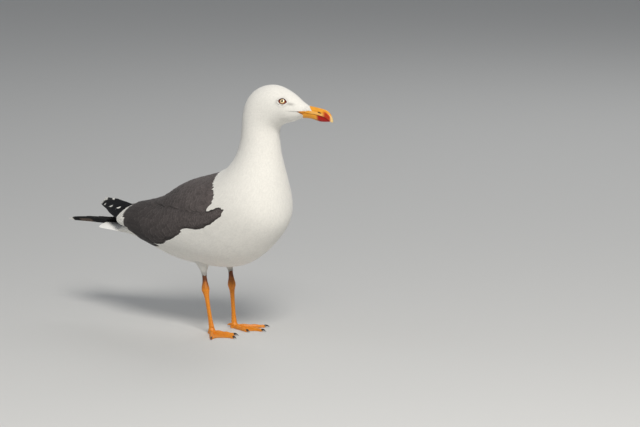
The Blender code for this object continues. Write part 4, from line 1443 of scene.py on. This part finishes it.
f, q = crossed(np.linspace(0.0, 1.0, 40), around(16))
x = 144.4 + 12.2 * f
mouth = heightOn(gape["mouth"], x)
thin = 0.2 + 0.8 * ease(f * 1.6)
cheekSide = fleshStraight(*headPlace(x[:, :1], mouth[:, :1]))[..., 1]
y = np.minimum(cheekSide, 11.5) - 0.35 + 0.75 * thin * np.cos(q)
# painted shade at the mouth's corner, turning orange towards the bill
tint = mix(*bill["lip"], ease(f * 1.7 - 0.15))
for side, sign in sides.items():
    # lips: two folds of bare skin from the mouth's corner to the bill
    for which, above in (("upper", 0.55), ("lower", -0.75)):
        z = mouth + above * thin + 0.62 * thin * np.sin(q)
        lip = meshPiece(f"lip_{which}_{side}", turnHead(stacked(x, sign * y, z)), billMaterial, tint)
        ridden(lip, "bill_horn")

print("legs")
sockets = {"Coat_Weight": 0.15, "Coat_Roughness": 0.3, "Subsurface_Weight": 0.03}
legSkin, tree, shader = newMaterial("leg_skin", 0.5, **sockets)
place = addNode(tree, "ShaderNodeTexCoord").outputs["Object"]
aboveFloor = addNode(tree, "ShaderNodeSeparateXYZ", {"Vector": place}).outputs["Z"]
scales, blotch = cells(tree, 620.0), noise(tree, 90.0, 5.0, place)
brownUp = ranged(tree, aboveFloor, 0.057, 0.082)
brownShare = addNode(tree, "ShaderNodeMath", {0: brownUp, 1: blotch}, operation="MULTIPLY").outputs[0]
orange = blendColours(tree, blotch, (0.74, 0.22, 0.004, 1.0), (0.86, 0.31, 0.008, 1.0))
stained = blendColours(tree, ranged(tree, brownShare, 0.10, 0.36), orange, (0.15, 0.036, 0.004, 1.0))
tinted(tree, shader, scales, (1.05, 1.05, 1.05), (0.72, 0.68, 0.6), stained)
raised(tree, shader, scales, 0.45, 0.0004)

clawHorn, tree, shader = newMaterial("claw_horn", 0.35, Coat_Weight=0.3, Coat_Roughness=0.2)
horn = blendColours(tree, noise(tree, 800.0, 4.0), (0.012, 0.010, 0.008, 1.0), (0.06, 0.045, 0.03, 1.0))
tree.links.new(horn, shader.inputs["Base Color"])

upright = np.array([0.0, 0.0, 1.0])


def heading(degrees):
    # the level direction, and the one across it
    c, s = math.cos(math.radians(degrees)), math.sin(math.radians(degrees))
    return np.array([c, s, 0.0]), np.array([-s, c, 0.0])


for side, sign in sides.items():
    y = legs["y"][side]
    ankleX, ankleZ = legs["ankle"]
    heel = np.array([legs["heelX"][side], y, legs["floor"]])
    path = [(ankleX - 3.0, y, 86.0), (ankleX - 2.4, y, 81.2), (ankleX - 1.0, y, 71.0), (ankleX, y, ankleZ)]
    for f in (0.14, 0.4, 0.75, 1.0):
        path.append((ankleX + (heel[0] - ankleX) * f, y, ankleZ + (legs["heelZ"] - ankleZ) * f))
    shin = limbOver(path, legs["shinWidth"], legs["shinDepth"])
    f, q = crossed(np.linspace(0.0, 1.0, 220), around(40))
    front = ease((np.sin(q) - 0.1) / 0.6)
    ridges = 0.16 * np.sin(f * 28.0 * 2.0 * math.pi) * front * ease((f - 0.35) / 0.1)
    shapes = [shin(f, q, ridges)]
    tips = {}
    for which, spread in legs["spread"].items():
        ahead, across = heading(legs["yaw"][side] + sign * spread)
        long = legs["length"][which]
        tips[which] = heel + ahead * long
        f, arc = crossed(np.linspace(-0.1, 1.0, 120), np.linspace(0.0, math.pi, 17))
        g = np.maximum(f, 0.0)
        end = np.sqrt(np.maximum(1.0 - np.maximum((f - 0.93) / 0.075, 0.0) ** 2, 0.0))
        joints, scutes = np.cos(f * 6.0 * math.pi), np.sin(f * long / 2.2 * 2.0 * math.pi)
        w = 3.2 * (1.0 - 0.28 * g) * (1.0 + 0.09 * joints) * np.maximum(end, 0.12)
        h = (6.2 - 2.2 * g + 0.35 * joints + 0.14 * scutes) * np.maximum(end, 0.15)
        toe = heel + times(long * f, ahead) + times(w * np.cos(arc), across)
        shapes.append(toe + times(h * np.sin(arc) ** 0.8, upright))
    for first, second in (("inner", "middle"), ("middle", "outer")):
        # a web: a sheet between two toes, wrinkled, thicker beside them
        a, b = crossed(np.linspace(0.0, 1.0, 60), np.linspace(0.0, 1.0, 40))
        between = np.sin(b * math.pi)
        edge = tips[first] + times(b, tips[second] - tips[first])
        sheet = heel + times(a * (0.93 - 0.17 * between), edge - heel)
        wrinkle = 0.12 * np.sin(b * 9.0 * math.pi + 3.0 * a) * between
        tall = 1.5 + 1.4 * (1.0 - between) ** 1.5 * (1.0 - 0.4 * a) + wrinkle + 0.9 * (1.0 - a)
        lower = sheet + 0.35 * upright
        shapes.append(np.concatenate([sheet + times(tall, upright), lower[:, ::-1]], axis=1))
    spurPath = np.array([(-1.0, 1.0, 5.0), (-5.5, 2.6, 5.2), (-9.5, 4.2, 3.6)]) * (1.0, -sign, 1.0) + heel
    spur = limbOver(spurPath, (4.4, 3.4, 1.2), (4.2, 3.2, 1.2))
    shapes.append(spur(*crossed(np.linspace(0.0, 1.0, 30), around(20))))
    away, q = crossed(np.linspace(0.02, math.pi - 0.02, 24), around(32))
    knuckle = 5.0 * stacked(np.sin(away) * np.cos(q), np.sin(away) * np.sin(q), np.cos(away))
    shapes.append(knuckle + heel + (0.3, 0.2, 5.15))
    pieces = [meshPiece(f"leg_part_{k}", points, legSkin) for k, points in enumerate(shapes)]
    bpy.ops.object.select_all(action="DESELECT")
    for piece in pieces:
        piece.select_set(True)
    bpy.context.view_layer.objects.active = pieces[0]
    bpy.ops.object.join()
    leg = bpy.context.view_layer.objects.active
    remesh = leg.modifiers.new("fused", "REMESH")
    remesh.mode, remesh.voxel_size = "VOXEL", 0.00055
    soften = leg.modifiers.new("softened", "SMOOTH")
    soften.factor, soften.iterations = 0.5, 3
    settled(leg)
    leg.name = f"leg_and_foot_{side}"
    leg.data.shade_smooth()
    if not leg.data.materials:
        leg.data.materials.append(legSkin)
    ridden(leg, "leg_skin", f"leg_{side}", f"foot_{side}")
    print(leg.name, len(leg.data.polygons), "faces")
    for which, spread in legs["spread"].items():
        ahead, across = heading(legs["yaw"][side] + sign * spread)
        f, q = crossed(np.linspace(0.0, 1.0, 24), around(20))
        size = 1.7 * (1.0 - f) ** 0.7 + 0.12
        claw = tips[which] - ahead * 1.2 + 2.3 * upright
        claw = claw + times(legs["clawLength"] * f, ahead) + times(0.8 * size * np.cos(q), across)
        claw = claw + times(1.2 * np.sin(f * 2.4) - 2.4 * f * f + size * np.sin(q), upright)
        ridden(meshPiece(f"claw_{which}_toe_{side}", claw, clawHorn), "claw", f"claw_{which}_{side}")

print("floor")
floorMaterial, tree, shader = newMaterial("floor", 0.7)
shader.inputs["Base Color"].default_value = (0.62, 0.62, 0.61, 1.0)
floorMesh = bpy.data.meshes.new("floor")
floorMesh.from_pydata([(-40, -40, 0), (40, -40, 0), (40, 40, 0), (-40, 40, 0)], [], [(0, 1, 2, 3)])
floorMesh.materials.append(floorMaterial)
newObject("floor", floorMesh)
